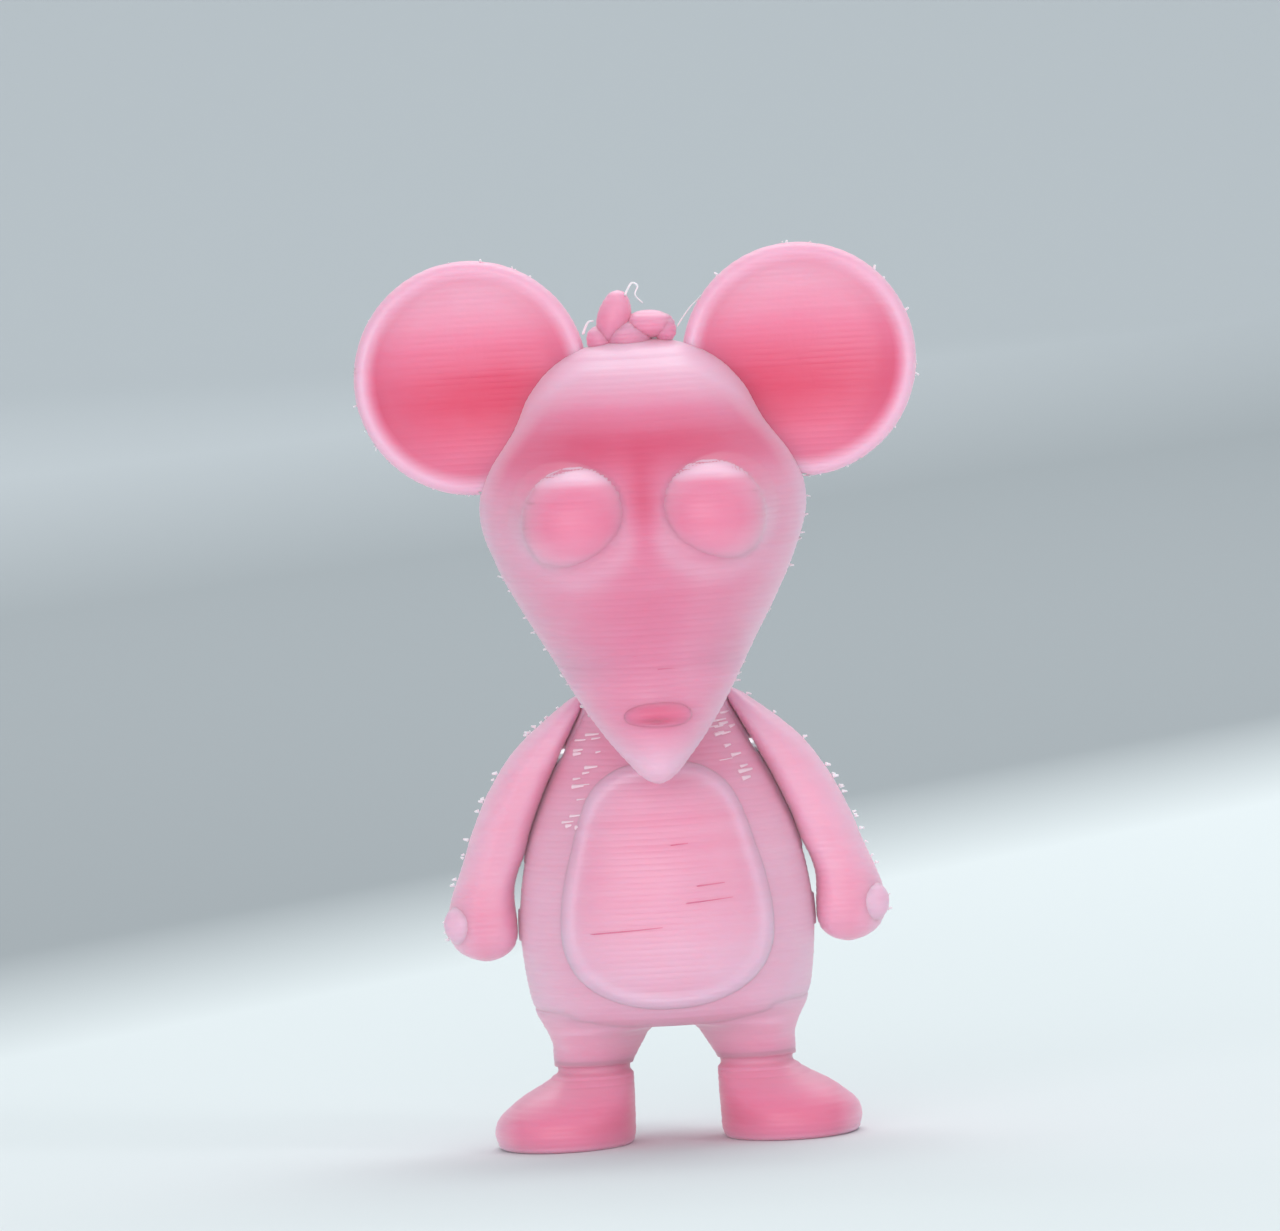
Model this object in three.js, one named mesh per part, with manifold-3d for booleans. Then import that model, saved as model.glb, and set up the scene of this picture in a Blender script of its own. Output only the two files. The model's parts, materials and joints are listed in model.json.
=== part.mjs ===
// Clockwork mouse: a small standing wind-up toy that waddles from foot to foot.
// Millimetres, +Z up. The mouse faces -Y, so its left hand is at +X. The floor is z = 0.
import * as THREE from "three";
import { mergeVertices } from "three/addons/utils/BufferGeometryUtils.js";
import Module from "manifold-3d";

const wasm = await Module();
wasm.setup();

// ---------------------------------------------------------------- driving dimensions
const SHELL_WALL = 1.2;
const SEAM_GAP = 0.3; // between two pieces that meet
const RUN_GAP = 0.3; // round a shaft or a slide

const LEG_SPREAD = 11.0; // between the middles of the legs
const LEG_WIDTH = 5.3;
const LEG_DEPTH = 6.0;
const SLEEVE_WALL = 0.75; // of the trouser sleeve round each leg
const FOOT_TOP = 4.6; // where the foot ends and the ankle begins
const FOOT_OUT = 6.85; // from the middle of the leg to the outer edge of the foot
const FOOT_LENGTH = 11.0;
const WADDLE_ANGLE = 6.5; // degrees each way
const WADDLE_ARM = 5.0; // from the rocker pivot to each leg pin

const TORSO_BASE = 7.2;
const TORSO_HEIGHT = 24.2;
const TORSO_WIDTH = 20.0;
const TORSO_DEPTH = 18.4;

const HEAD_HEIGHT = 29.3;
const HEAD_WIDTH = 22.5;
const SNOUT_REACH = 15.7; // from the neck axis forwards, without the nose
const HEAD_BACK = 9.6; // from the neck axis backwards
const CHIN_DROP = 6.5; // chin below the top of the torso
const HEAD_SPLIT_Y = 1.2;

const NOSE_WIDTH = 4.4;
const NOSE_DEPTH = 2.2;
const NOSE_PROUD = 0.95; // how far the nose stands out of the snout
const EAR_RADIUS = 7.9;
const EAR_THICKNESS = 2.6;
const EAR_OUTSET = 11.1;
const EYE_RADIUS = 3.7;
const EYE_SPACING = 9.0;
const EYE_HEIGHT = 17.4; // above the chin
const EYE_SINK = 1.05; // middle of the eye behind the face
const HAIR_BACK = 0.5; // from the neck axis to the peg of the hair
const BELLY_WIDTH = 14.4;
const BELLY_HEIGHT = 16.6;
const BELLY_STEP = 0.3; // how far the belly panel stands proud
const BELLY_SINK = 0.75; // depth of its recess
const PEG_RADIUS = 1.0; // of the pegs behind the eyes and under the hair
const NOSE_PEG_RADIUS = 0.75;
const TAB_LENGTH = 4.6; // of the tab that holds an ear in the head
const TAB_HALF = 0.5;

const NECK_RADIUS = 2.2;
const NECK_FLANGE = 0.8; // how far the flange stands out of the neck post
const HEAD_SOCKET_RADIUS = 4.7; // the flat seat under the head, round the neck
const SHOULDER_DROP = 4.9; // shoulder axis below the top of the torso
const SHOULDER_PIN_RADIUS = 1.0;
const ARM_DEPTH = 5.6;
const ARM_WIDTH = 4.6;
const ARM_LENGTH = 17.6;
const THUMB_RADIUS = 1.3;
const FLANGE_THICKNESS = 0.7; // of the flange inside each shoulder

const GEAR_MODULE = 0.35;
const GREAT_TEETH = 30;
const PINION_TEETH = 8;
const OUTPUT_TEETH = 10;
const SECOND_TEETH = 20;
const ARBOR_RADIUS = 0.4;
const PLATE_THICKNESS = 0.6;
const WHEEL_THICKNESS = 0.6;
const LAYER_GAP = 0.3; // between wheels along an arbor
const SPRING_WIDTH = 2.4;
const SPRING_RADIUS = 4.4;
const SPRING_TURNS = 3;
const SPRING_LEAF = 0.22;
const RATCHET_INSET = 3.05; // from the pitch circle of the great wheel to the tips of the ratchet
const ESCAPE_RADIUS = 1.7;
const CRANK_THROW = 0.5;
const KEY_SPAN = 12.6;
const KEY_HEIGHT = 5.4;
const KEY_REACH = 16.65; // from the neck axis backwards
const SCREW_RADIUS = 0.5;

// ---------------------------------------------------------------- places that follow
const degrees = Math.PI / 180;
const legX = LEG_SPREAD / 2;
const torsoTop = TORSO_BASE + TORSO_HEIGHT;
const shoulderZ = torsoTop - SHOULDER_DROP;
const chinZ = torsoTop - CHIN_DROP;
const headTop = chinZ + HEAD_HEIGHT;
const headSeat = torsoTop + 0.4;
const eyeZ = chinZ + EYE_HEIGHT;
const earZ = headTop - 2.1;
const footLift = WADDLE_ARM * Math.sin(WADDLE_ANGLE * degrees);
const sleeveBottom = FOOT_TOP + footLift + 0.2;
const shankWidth = LEG_WIDTH - 2 * (SLEEVE_WALL + RUN_GAP);
const shankDepth = LEG_DEPTH - 2 * (SLEEVE_WALL + RUN_GAP);

const greatRadius = (GREAT_TEETH * GEAR_MODULE) / 2;
const ratchetRadius = greatRadius - RATCHET_INSET;
const secondDistance = ((GREAT_TEETH + PINION_TEETH) * GEAR_MODULE) / 2;
const outputDistance = ((GREAT_TEETH + OUTPUT_TEETH) * GEAR_MODULE) / 2;
const escapeDistance = ((SECOND_TEETH + PINION_TEETH) * GEAR_MODULE) / 2;
const greatZ = TORSO_BASE + 10.4;
const secondZ = greatZ + secondDistance;
const outputZ = greatZ - outputDistance;
const escapeAngle = -22 * degrees;
const escapeX = escapeDistance * Math.cos(escapeAngle);
const escapeZ = secondZ + escapeDistance * Math.sin(escapeAngle);
const palletAngle = 135 * degrees;
const palletDistance = ESCAPE_RADIUS + 1.0;
const palletX = escapeX + palletDistance * Math.cos(palletAngle);
const palletZ = escapeZ + palletDistance * Math.sin(palletAngle);
const rockerZ = outputZ + 4.4;

// layers of the movement along Y, from the front plate to the rear plate
const frontPlate = [-3.0, -3.0 + PLATE_THICKNESS];
const secondLayer = layerAfter(frontPlate, WHEEL_THICKNESS);
const greatLayer = layerAfter(secondLayer, WHEEL_THICKNESS);
const ratchetLayer = layerAfter(greatLayer, WHEEL_THICKNESS);
const springLayer = layerAfter(ratchetLayer, SPRING_WIDTH);
const escapeLayer = [springLayer[0], springLayer[0] + WHEEL_THICKNESS];
const rearPlate = layerAfter(springLayer, PLATE_THICKNESS);
const crankLayer = [frontPlate[0] - LAYER_GAP - WHEEL_THICKNESS, frontPlate[0] - LAYER_GAP];
const rockerLayer = [crankLayer[0] - LAYER_GAP - 0.8, crankLayer[0] - LAYER_GAP];

function layerAfter(layer, thickness) {
  return [layer[1] + LAYER_GAP, layer[1] + LAYER_GAP + thickness];
}

// ---------------------------------------------------------------- solids
function solidOf(geometry) {
  const bare = geometry.clone();
  bare.deleteAttribute("normal");
  bare.deleteAttribute("uv");
  const merged = mergeVertices(bare, 1e-4);
  const triangles = [];
  const index = merged.index.array;
  for (let i = 0; i < index.length; i += 3) {
    const [a, b, c] = [index[i], index[i + 1], index[i + 2]];
    if (a !== b && b !== c && c !== a) triangles.push(a, b, c);
  }
  const vertProperties = new Float32Array(merged.attributes.position.array);
  const make = (order) =>
    new wasm.Manifold(new wasm.Mesh({ numProp: 3, vertProperties, triVerts: new Uint32Array(order) }));
  const solid = make(triangles);
  return solid.volume() > 0 ? solid : make(triangles.reverse());
}

const join = (first, ...others) => others.reduce((sum, other) => sum.add(other), first);
const cut = (first, ...others) => others.reduce((rest, other) => rest.subtract(other), first);

function box(xs, ys, zs) {
  const geometry = new THREE.BoxGeometry(xs[1] - xs[0], ys[1] - ys[0], zs[1] - zs[0]);
  geometry.translate((xs[0] + xs[1]) / 2, (ys[0] + ys[1]) / 2, (zs[0] + zs[1]) / 2);
  return solidOf(geometry);
}

// a round bar between two points
function bar(radius, start, end, sides = 12) {
  const from = new THREE.Vector3(...start);
  const along = new THREE.Vector3(...end).sub(from);
  const geometry = new THREE.CylinderGeometry(radius, radius, along.length(), sides);
  geometry.translate(0, along.length() / 2, 0);
  const turn = new THREE.Quaternion().setFromUnitVectors(new THREE.Vector3(0, 1, 0), along.normalize());
  return solidOf(geometry.applyQuaternion(turn).translate(...start));
}

const rod = (radius, x, z, layer, sides = 10) => bar(radius, [x, layer[0], z], [x, layer[1], z], sides);

function ball(radii, centre, sides = 24) {
  const geometry = new THREE.SphereGeometry(1, sides, sides / 2);
  return solidOf(geometry.rotateX(Math.PI / 2).scale(...radii).translate(...centre));
}

// an outline in X and Z, given thickness along Y
function slab(shape, layer, curveSegments = 8) {
  const depth = layer[1] - layer[0];
  const geometry = new THREE.ExtrudeGeometry(shape, { depth, bevelEnabled: false, curveSegments });
  return solidOf(geometry.rotateX(Math.PI / 2).translate(0, layer[1], 0));
}

// a stack of horizontal ellipses; each row is z, x low, x high, y low, y high, x shift per unit of y
function loft(rows, sides) {
  const last = rows.length - 1;
  const unit = rows.map((row, j) => new THREE.Vector2(j === 0 || j === last ? 0 : 1, row[0]));
  const geometry = new THREE.LatheGeometry(unit, sides).rotateX(Math.PI / 2);
  const place = geometry.attributes.position;
  for (let k = 0; k < place.count; k += 1) {
    const [, xLow, xHigh, yLow, yHigh, splay = 0] = rows[k % rows.length];
    const y = (yLow + yHigh) / 2 + (place.getY(k) * (yHigh - yLow)) / 2;
    const x = (xLow + xHigh) / 2 + (place.getX(k) * (xHigh - xLow)) / 2 + splay * y;
    place.setX(k, x);
    place.setY(k, y);
  }
  return solidOf(geometry);
}

function capped(rows) {
  const end = (row) => {
    const x = (row[1] + row[2]) / 2;
    const y = (row[3] + row[4]) / 2;
    return [row[0], x, x, y, y, row[5]];
  };
  return [end(rows[0]), ...rows, end(rows[rows.length - 1])];
}

function about(solid, centre, factor) {
  return solid.translate(centre.map((v) => -v)).scale([factor, factor, factor]).translate(centre);
}

const mirrored = (solid, side) => (side > 0 ? solid : solid.mirror([1, 0, 0]));

// ---------------------------------------------------------------- torso
// share of the height against share of the half width
const torsoKeys = [[0, 0.83], [0.09, 0.92], [0.19, 0.98], [0.3, 1], [0.43, 0.975], [0.56, 0.9],
  [0.68, 0.785], [0.8, 0.64], [0.91, 0.5], [1, 0.4]];
const torsoShare = new THREE.CubicInterpolant(torsoKeys.map((k) => k[0]), torsoKeys.map((k) => k[1]), 1);
const torsoHalf = (z) => (TORSO_WIDTH / 2) * torsoShare.evaluate((z - TORSO_BASE) / TORSO_HEIGHT)[0];
const torsoCentre = [0, 0, TORSO_BASE + 0.4 * TORSO_HEIGHT];
const torsoRows = Array.from({ length: 15 }, (_, i) => {
  const z = TORSO_BASE + (TORSO_HEIGHT * i) / 14;
  const x = torsoHalf(z);
  const y = (x * TORSO_DEPTH) / TORSO_WIDTH;
  return [z, -x, x, -y, y];
});
const torsoSolid = loft(capped(torsoRows), 28);
const torsoCore = loft(capped(torsoRows.filter((_, i) => i % 2 === 0)), 20);
const torsoGrown = (by, solid = torsoSolid) => about(solid, torsoCentre, 1 + by / (TORSO_WIDTH / 2));

function sleeve(grow, zs) {
  const half = [LEG_WIDTH / 2 - grow, LEG_DEPTH / 2 - grow];
  const row = (z) => [z, legX - half[0], legX + half[0], -half[1], half[1]];
  return loft(capped([row(zs[0]), row(zs[1])]), 20);
}

function bellyOutline(grow) {
  const half = BELLY_WIDTH / 2 + grow;
  const middle = TORSO_BASE + 2.1 + BELLY_HEIGHT * 0.36;
  const low = middle - BELLY_HEIGHT * 0.36 - grow;
  const high = middle + BELLY_HEIGHT * 0.64 + grow;
  const shape = new THREE.Shape();
  shape.moveTo(half, middle);
  shape.bezierCurveTo(half, middle + (high - middle) * 0.45, half * 0.72, high, 0, high);
  shape.bezierCurveTo(-half * 0.72, high, -half, middle + (high - middle) * 0.45, -half, middle);
  shape.bezierCurveTo(-half, low + 1.5, -half * 0.6, low, 0, low);
  shape.bezierCurveTo(half * 0.6, low, half, low + 1.5, half, middle);
  return shape;
}

const bodyScrews = [[7.3, TORSO_BASE + 5.8], [6.5, TORSO_BASE + 12.6]];
const screwReach = 2.6; // forward of the seam
const screwPlaces = bodyScrews.flatMap(([x, z]) => [[x, z], [-x, z]]);

function torsoShell() {
  const outside = [torsoSolid];
  const inside = [torsoGrown(-SHELL_WALL, torsoCore)];
  for (const side of [1, -1]) {
    outside.push(mirrored(sleeve(0, [sleeveBottom, TORSO_BASE + 2]), side));
    inside.push(mirrored(sleeve(SLEEVE_WALL, [sleeveBottom - 1, TORSO_BASE + 4]), side));
    const pin = bar(SHOULDER_PIN_RADIUS + RUN_GAP, [3, 0, shoulderZ], [TORSO_WIDTH, 0, shoulderZ]);
    inside.push(mirrored(pin, side));
  }
  inside.push(bar(NECK_RADIUS + RUN_GAP, [0, 0, torsoTop - 4], [0, 0, torsoTop + 1], 24));
  inside.push(rod(ARBOR_RADIUS + 0.5, 0, greatZ, [0, TORSO_DEPTH]));
  return cut(join(...outside), ...inside);
}

function torsoFront() {
  const half = torsoShell().trimByPlane([0, -1, 0], SEAM_GAP / 2);
  const filled = torsoGrown(-SHELL_WALL / 2, torsoCore);
  const bosses = screwPlaces.map(([x, z]) =>
    rod(SCREW_RADIUS + 0.6, x, z, [-TORSO_DEPTH / 2, -SEAM_GAP / 2]).intersect(filled));
  const holes = screwPlaces.map(([x, z]) => rod(SCREW_RADIUS + 0.15, x, z, [-screwReach - 0.4, 1]));
  const recess = cut(slab(bellyOutline(SEAM_GAP), [-TORSO_DEPTH, -2], 6), torsoGrown(-BELLY_SINK));
  return cut(join(half, ...bosses), recess, ...holes);
}

function torsoBack() {
  const half = torsoShell().trimByPlane([0, 1, 0], SEAM_GAP / 2);
  const holes = screwPlaces.flatMap(([x, z]) => [
    rod(SCREW_RADIUS + 0.25, x, z, [1, TORSO_DEPTH]),
    rod(SCREW_RADIUS + 0.85, x, z, [screwSeat(x, z) + 0.2, TORSO_DEPTH]),
  ]);
  return cut(half, ...holes);
}

// where a screw head sits, just inside the back surface
function screwSeat(x, z) {
  const half = torsoHalf(z);
  return (TORSO_DEPTH / TORSO_WIDTH) * Math.sqrt(half * half - x * x) - SHELL_WALL * 0.6;
}

function bodyScrew([x, z]) {
  const seat = screwSeat(x, z) + 0.3;
  const head = rod(SCREW_RADIUS + 0.55, x, z, [seat, seat + 0.8], 16);
  const slot = box([x - 2, x + 2], [seat + 0.45, seat + 1], [z - 0.15, z + 0.15]);
  return join(rod(SCREW_RADIUS, x, z, [-screwReach, seat + 0.1], 12), cut(head, slot));
}

function bellyPanel() {
  const skin = cut(torsoGrown(BELLY_STEP), torsoGrown(-BELLY_SINK + SEAM_GAP));
  return skin.intersect(slab(bellyOutline(0), [-TORSO_DEPTH, -2], 6));
}

// ---------------------------------------------------------------- head
// share of the height, half width, front and back of each level of the teardrop
const headKeys = [[0.0, 0.03, -0.87, -0.78], [0.018, 0.09, -0.93, -0.74], [0.05, 0.17, -0.965, -0.66],
  [0.115, 0.31, -1, -0.5], [0.19, 0.44, -0.985, -0.36], [0.235, 0.51, -0.96, 0.12],
  [0.31, 0.63, -0.905, 0.5], [0.4, 0.775, -0.82, 0.76], [0.5, 0.905, -0.725, 0.93],
  [0.6, 0.985, -0.64, 1], [0.7, 0.935, -0.565, 1], [0.8, 0.785, -0.48, 0.93],
  [0.885, 0.65, -0.375, 0.79], [0.95, 0.475, -0.24, 0.56], [0.987, 0.26, -0.1, 0.32],
  [1, 0.1, -0.01, 0.12]];
const headLevel = ([share, half, front, back]) => [
  chinZ + HEAD_HEIGHT * share,
  (-HEAD_WIDTH / 2) * half,
  (HEAD_WIDTH / 2) * half,
  SNOUT_REACH * front,
  back > 0 ? HEAD_BACK * back : SNOUT_REACH * back,
];
const headSolid = loft(capped(headKeys.map(headLevel)), 28);
const headCore = loft(capped(headKeys.map(headLevel)), 18);
const headCentre = [0, -1.2, chinZ + 0.6 * HEAD_HEIGHT];
const headGrown = (by, solid = headSolid) => about(solid, headCentre, 1 + by / (HEAD_WIDTH / 2));
const earMiddle = [EAR_OUTSET, HEAD_SPLIT_Y, earZ];
const headColumn = (column) => headKeys.map((key) => key[column]);

// the front of the head at a place beside its middle and a height above the chin
function faceAt(x, above) {
  const [half, front, back] = [1, 2, 3].map((column) => {
    const level = new THREE.LinearInterpolant(headColumn(0), headColumn(column), 1);
    return level.evaluate(above / HEAD_HEIGHT)[0];
  });
  const yFront = SNOUT_REACH * front;
  const yBack = HEAD_BACK * back;
  const across = x / ((HEAD_WIDTH / 2) * half);
  return (yFront + yBack) / 2 - ((yBack - yFront) / 2) * Math.sqrt(1 - across * across);
}

const eyeMiddle = [EYE_SPACING / 2, faceAt(EYE_SPACING / 2, EYE_HEIGHT) + EYE_SINK, eyeZ];
const noseMiddle = [0, -SNOUT_REACH - NOSE_PROUD + NOSE_DEPTH / 2, chinZ + 4.4];

function earTab(grow) {
  const outer = EAR_OUTSET - 0.4;
  const across = [HEAD_SPLIT_Y - TAB_HALF - grow, HEAD_SPLIT_Y + TAB_HALF + grow];
  return box([outer - TAB_LENGTH - grow, outer], across, [earZ - 5 - grow, earZ - 2 + grow]);
}

// a peg behind the nose, sloping up as the snout does
function nosePeg(radius, before, behind) {
  const [, y, z] = noseMiddle;
  return bar(radius, [0, y - before, z - 0.2 * before], [0, y + behind, z + 0.2 * behind]);
}

function headShell() {
  const pegHole = PEG_RADIUS + RUN_GAP;
  const inside = [headGrown(-SHELL_WALL, headCore)];
  for (const side of [1, -1]) {
    inside.push(mirrored(earTab(RUN_GAP), side));
    inside.push(mirrored(bar(pegHole, [eyeMiddle[0], -SNOUT_REACH, eyeZ], [eyeMiddle[0], -3, eyeZ]), side));
  }
  inside.push(bar(HEAD_SOCKET_RADIUS, [0, 0, headSeat - 3], [0, 0, headSeat], 32));
  inside.push(bar(NECK_RADIUS + RUN_GAP, [0, 0, headSeat - 1], [0, 0, headSeat + 4], 24));
  inside.push(nosePeg(NOSE_PEG_RADIUS + RUN_GAP, 2, 4.5));
  inside.push(bar(pegHole, [0, HAIR_BACK, headTop - 4], [0, HAIR_BACK, headTop + 1]));
  return cut(headSolid, ...inside);
}

const headFront = () => headShell().trimByPlane([0, -1, 0], SEAM_GAP / 2 - HEAD_SPLIT_Y);
const headBack = () => headShell().trimByPlane([0, 1, 0], SEAM_GAP / 2 + HEAD_SPLIT_Y);

function neckPost() {
  const flange = bar(NECK_RADIUS + NECK_FLANGE, [0, 0, torsoTop - 3.0], [0, 0, torsoTop - 2.2], 24);
  return join(flange, bar(NECK_RADIUS, [0, 0, torsoTop - 2.6], [0, 0, headSeat + 2.6], 24));
}

// a dished disc on an axis along Y, its dish facing forwards
function ear(side) {
  const half = EAR_THICKNESS / 2;
  const profile = [[0, 0.35], [0.45, 0.2], [0.72, -0.25], [0.84, -0.8], [0.91, -1], [0.975, -0.8],
    [1, -0.2], [0.97, 0.3], [0.8, 0.75], [0.45, 1], [0, 1.08]];
  const points = profile.map(([r, y]) => new THREE.Vector2(EAR_RADIUS * r, half * y));
  const disc = solidOf(new THREE.LatheGeometry(points, 28).translate(...earMiddle));
  return mirrored(join(cut(disc, headGrown(SEAM_GAP)), earTab(0)), side);
}

function eye(side) {
  const cap = cut(ball([EYE_RADIUS, EYE_RADIUS, EYE_RADIUS], eyeMiddle, 18), headGrown(SEAM_GAP));
  const front = cap.trimByPlane([0, -1, 0], 3);
  const [x, y, z] = eyeMiddle;
  const peg = bar(PEG_RADIUS, [x, y - 1.5, z], [x, y + 2.4, z]);
  return mirrored(join(front, peg), side);
}

function nose() {
  const bulb = cut(ball([NOSE_WIDTH / 2, NOSE_DEPTH / 2, 0.95], noseMiddle, 14), headGrown(SEAM_GAP));
  return join(bulb.trimByPlane([0, -1, 0], SNOUT_REACH - 1), nosePeg(NOSE_PEG_RADIUS, 0.6, 3));
}

function hairTuft() {
  const crown = headTop;
  const lumps = [
    ball([1.2, 1.5, 1.7], [-1.3, 0.2, crown + 1.5], 10),
    ball([1.7, 1.5, 1.25], [1.2, 0.8, crown + 0.6], 10),
    ball([1.0, 1.1, 1.6], [-0.4, 0.6, crown + 0.4], 10),
  ];
  const peg = bar(PEG_RADIUS, [0, HAIR_BACK, crown - 2.4], [0, HAIR_BACK, crown + 0.6]);
  return join(cut(join(...lumps), headGrown(SEAM_GAP)), peg);
}

// ---------------------------------------------------------------- arms and legs
// each key is a depth below the top, the inner and outer reach and the half depth, all as shares
function arm(side) {
  const top = shoulderZ + 3.8;
  const keys = [[0, 0.0, 0.12, 0.15], [0.04, 0.0, 0.3, 0.45], [0.1, 0.0, 0.5, 0.7], [0.2, 0, 0.72, 0.9],
    [0.33, 0, 0.82, 1], [0.5, 0, 0.84, 0.98], [0.64, 0.02, 0.88, 0.9], [0.76, 0.03, 0.98, 0.94],
    [0.86, 0.03, 1.03, 0.98], [0.94, 0.1, 0.93, 0.8], [0.985, 0.28, 0.72, 0.45], [1, 0.4, 0.6, 0.2]];
  const rows = keys.map(([down, inner, outer, depth]) => {
    const z = top - ARM_LENGTH * down;
    const base = torsoHalf(Math.min(z, torsoTop)) + SEAM_GAP + 0.05;
    const y = (ARM_DEPTH / 2) * depth;
    return [z, base + ARM_WIDTH * inner, base + ARM_WIDTH * outer, -y, y];
  });
  const limb = loft(capped(rows.reverse()), 16);
  const thumbZ = top - 0.85 * ARM_LENGTH;
  const thumbX = torsoHalf(thumbZ) + SEAM_GAP + 0.77 * ARM_WIDTH;
  const thumb = ball([THUMB_RADIUS, THUMB_RADIUS, THUMB_RADIUS], [thumbX, -THUMB_RADIUS, thumbZ], 10);
  const hole = bar(SHOULDER_PIN_RADIUS + 0.15, [3, 0, shoulderZ], [pinEnd() + 0.2, 0, shoulderZ], 20);
  return mirrored(cut(join(limb, thumb), hole), side);
}

const pinEnd = () => torsoHalf(shoulderZ) + 2.3;

function shoulderPin(side) {
  const inner = torsoHalf(shoulderZ) - SHELL_WALL - 1.4;
  const start = inner - FLANGE_THICKNESS;
  const flange = bar(SHOULDER_PIN_RADIUS + 0.3, [start, 0, shoulderZ], [inner, 0, shoulderZ], 20);
  const pin = bar(SHOULDER_PIN_RADIUS, [start + 0.3, 0, shoulderZ], [pinEnd(), 0, shoulderZ], 20);
  return mirrored(join(flange, pin), side);
}

function leg(side) {
  const ankle = LEG_WIDTH / 2;
  const heel = LEG_DEPTH / 2;
  const out = FOOT_OUT;
  const toe = -FOOT_LENGTH * 0.64;
  const back = FOOT_LENGTH * 0.36;
  const splay = -0.16;
  const keys = [
    [0, -ankle + 0.4, out - 0.5, toe + 0.4, back - 0.3, splay],
    [0.3, -ankle + 0.1, out - 0.15, toe + 0.1, back - 0.05, splay],
    [0.33 * FOOT_TOP, -ankle, out - 0.1, toe, back, splay],
    [0.6 * FOOT_TOP, -ankle, out - 1.0, toe + 0.9, back - 0.2, splay],
    [0.8 * FOOT_TOP, -ankle, out - 2.3, toe + 2.4, back - 0.5, splay * 0.7],
    [0.94 * FOOT_TOP, -ankle, ankle + 0.75, -heel - 0.7, heel + 0.1, splay * 0.3],
    [FOOT_TOP, -ankle, ankle + 0.05, -heel, heel, 0],
  ].map(([z, xLow, xHigh, ...rest]) => [z, legX + xLow, legX + xHigh, ...rest]);
  const foot = loft(capped(keys), 20);
  const row = (z) => [z, legX - shankWidth / 2, legX + shankWidth / 2, -shankDepth / 2, shankDepth / 2];
  const shank = loft(capped([row(FOOT_TOP - 0.6), row(yokeZ + 1)]), 16);
  const pinX = WADDLE_ARM;
  const yoke = box([pinX - 0.9, pinX + 0.9], [crankLayer[0], shankDepth / 2 - 1], [yokeZ, yokeZ + 1]);
  const riser = box([pinX - 0.7, pinX + 0.7], crankLayer, [yokeZ, rockerZ + 0.8]);
  const pin = rod(0.45, pinX, rockerZ, [rockerLayer[0], crankLayer[1] - 0.1]);
  return mirrored(join(foot, shank, yoke, riser, pin), side);
}

const yokeZ = TORSO_BASE + 2.0;

// ---------------------------------------------------------------- movement
// an outline of straight-sided teeth; a tooth points along the phase angle
function toothed(teeth, root, tip, rootShare, tipShare, phase, bore, skew = 0) {
  const shape = new THREE.Shape();
  const pitch = (2 * Math.PI) / teeth;
  for (let i = 0; i < teeth; i += 1) {
    const middle = phase + i * pitch;
    const corners = [[root, -rootShare / 2], [tip, skew - tipShare / 2], [tip, skew + tipShare / 2],
      [root, rootShare / 2]];
    for (const [radius, share] of corners) {
      const angle = middle + share * pitch;
      const point = [radius * Math.cos(angle), radius * Math.sin(angle)];
      if (shape.curves.length === 0 && shape.currentPoint.length() === 0) shape.moveTo(...point);
      else shape.lineTo(...point);
    }
  }
  shape.closePath();
  if (bore > 0) shape.holes.push(new THREE.Path().absarc(0, 0, bore, 0, 2 * Math.PI, true));
  return shape;
}

function gearOutline(teeth, phase, bore) {
  const pitchRadius = (teeth * GEAR_MODULE) / 2;
  const root = pitchRadius - 0.85 * GEAR_MODULE;
  const tip = pitchRadius + 0.6 * GEAR_MODULE;
  return toothed(teeth, root, tip, 0.5, 0.22, phase, bore);
}

// the phase that puts a gap of the second gear on a tooth of the first, seen along the line of centres
function meshPhase(firstTeeth, firstPhase, line, secondTeeth) {
  const along = ((line - firstPhase) * firstTeeth) / (2 * Math.PI);
  return line + Math.PI - ((0.5 - along) * 2 * Math.PI) / secondTeeth;
}

const secondPhase = meshPhase(GREAT_TEETH, 0, Math.PI / 2, PINION_TEETH);
const outputPhase = meshPhase(GREAT_TEETH, 0, -Math.PI / 2, OUTPUT_TEETH);
const escapePhase = meshPhase(SECOND_TEETH, secondPhase, escapeAngle, PINION_TEETH);

function at(shape, x, z, layer) {
  return slab(shape, layer).translate([x, 0, z]);
}

const widened = (layer, by) => [layer[0] - by, layer[1] + by];
const span = [frontPlate[0] - 0.4, rearPlate[1] + 0.4];

const pillarPlaces = [[4.4, TORSO_BASE + 5.1], [-4.4, TORSO_BASE + 5.1], [-4.6, TORSO_BASE + 15.3]];
const pivots = [[0, greatZ], [0, secondZ], [0, outputZ], [escapeX, escapeZ]];
const palletSpan = [escapeLayer[0] - 0.2, rearPlate[1] + 0.4];

function plate(layer, front) {
  const inside = torsoGrown(-SHELL_WALL - 0.4, torsoCore);
  const blank = box([-7, 7], layer, [TORSO_BASE + 2.2, TORSO_BASE + 18.9]).intersect(inside);
  const cuts = pivots.map(([x, z]) => rod(ARBOR_RADIUS + 0.2, x, z, widened(layer, 1)));
  cuts.push(...pillarPlaces.map(([x, z]) => rod(0.5, x, z, widened(layer, 1))));
  cuts.push(...screwPlaces.map(([x, z]) => rod(SCREW_RADIUS + 1.2, x, z, widened(layer, 1))));
  if (!front) cuts.push(rod(ARBOR_RADIUS + 0.2, palletX, palletZ, widened(layer, 1)));
  if (front) {
    cuts.push(rod(0.5, 0, rockerZ, widened(layer, 1)));
    for (const side of [1, -1]) {
      const notch = box([WADDLE_ARM - 1.8, 9], widened(layer, 1), [0, yokeZ + 1 + footLift + 0.3]);
      cuts.push(mirrored(notch, side));
    }
  }
  return cut(blank, ...cuts);
}

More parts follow.
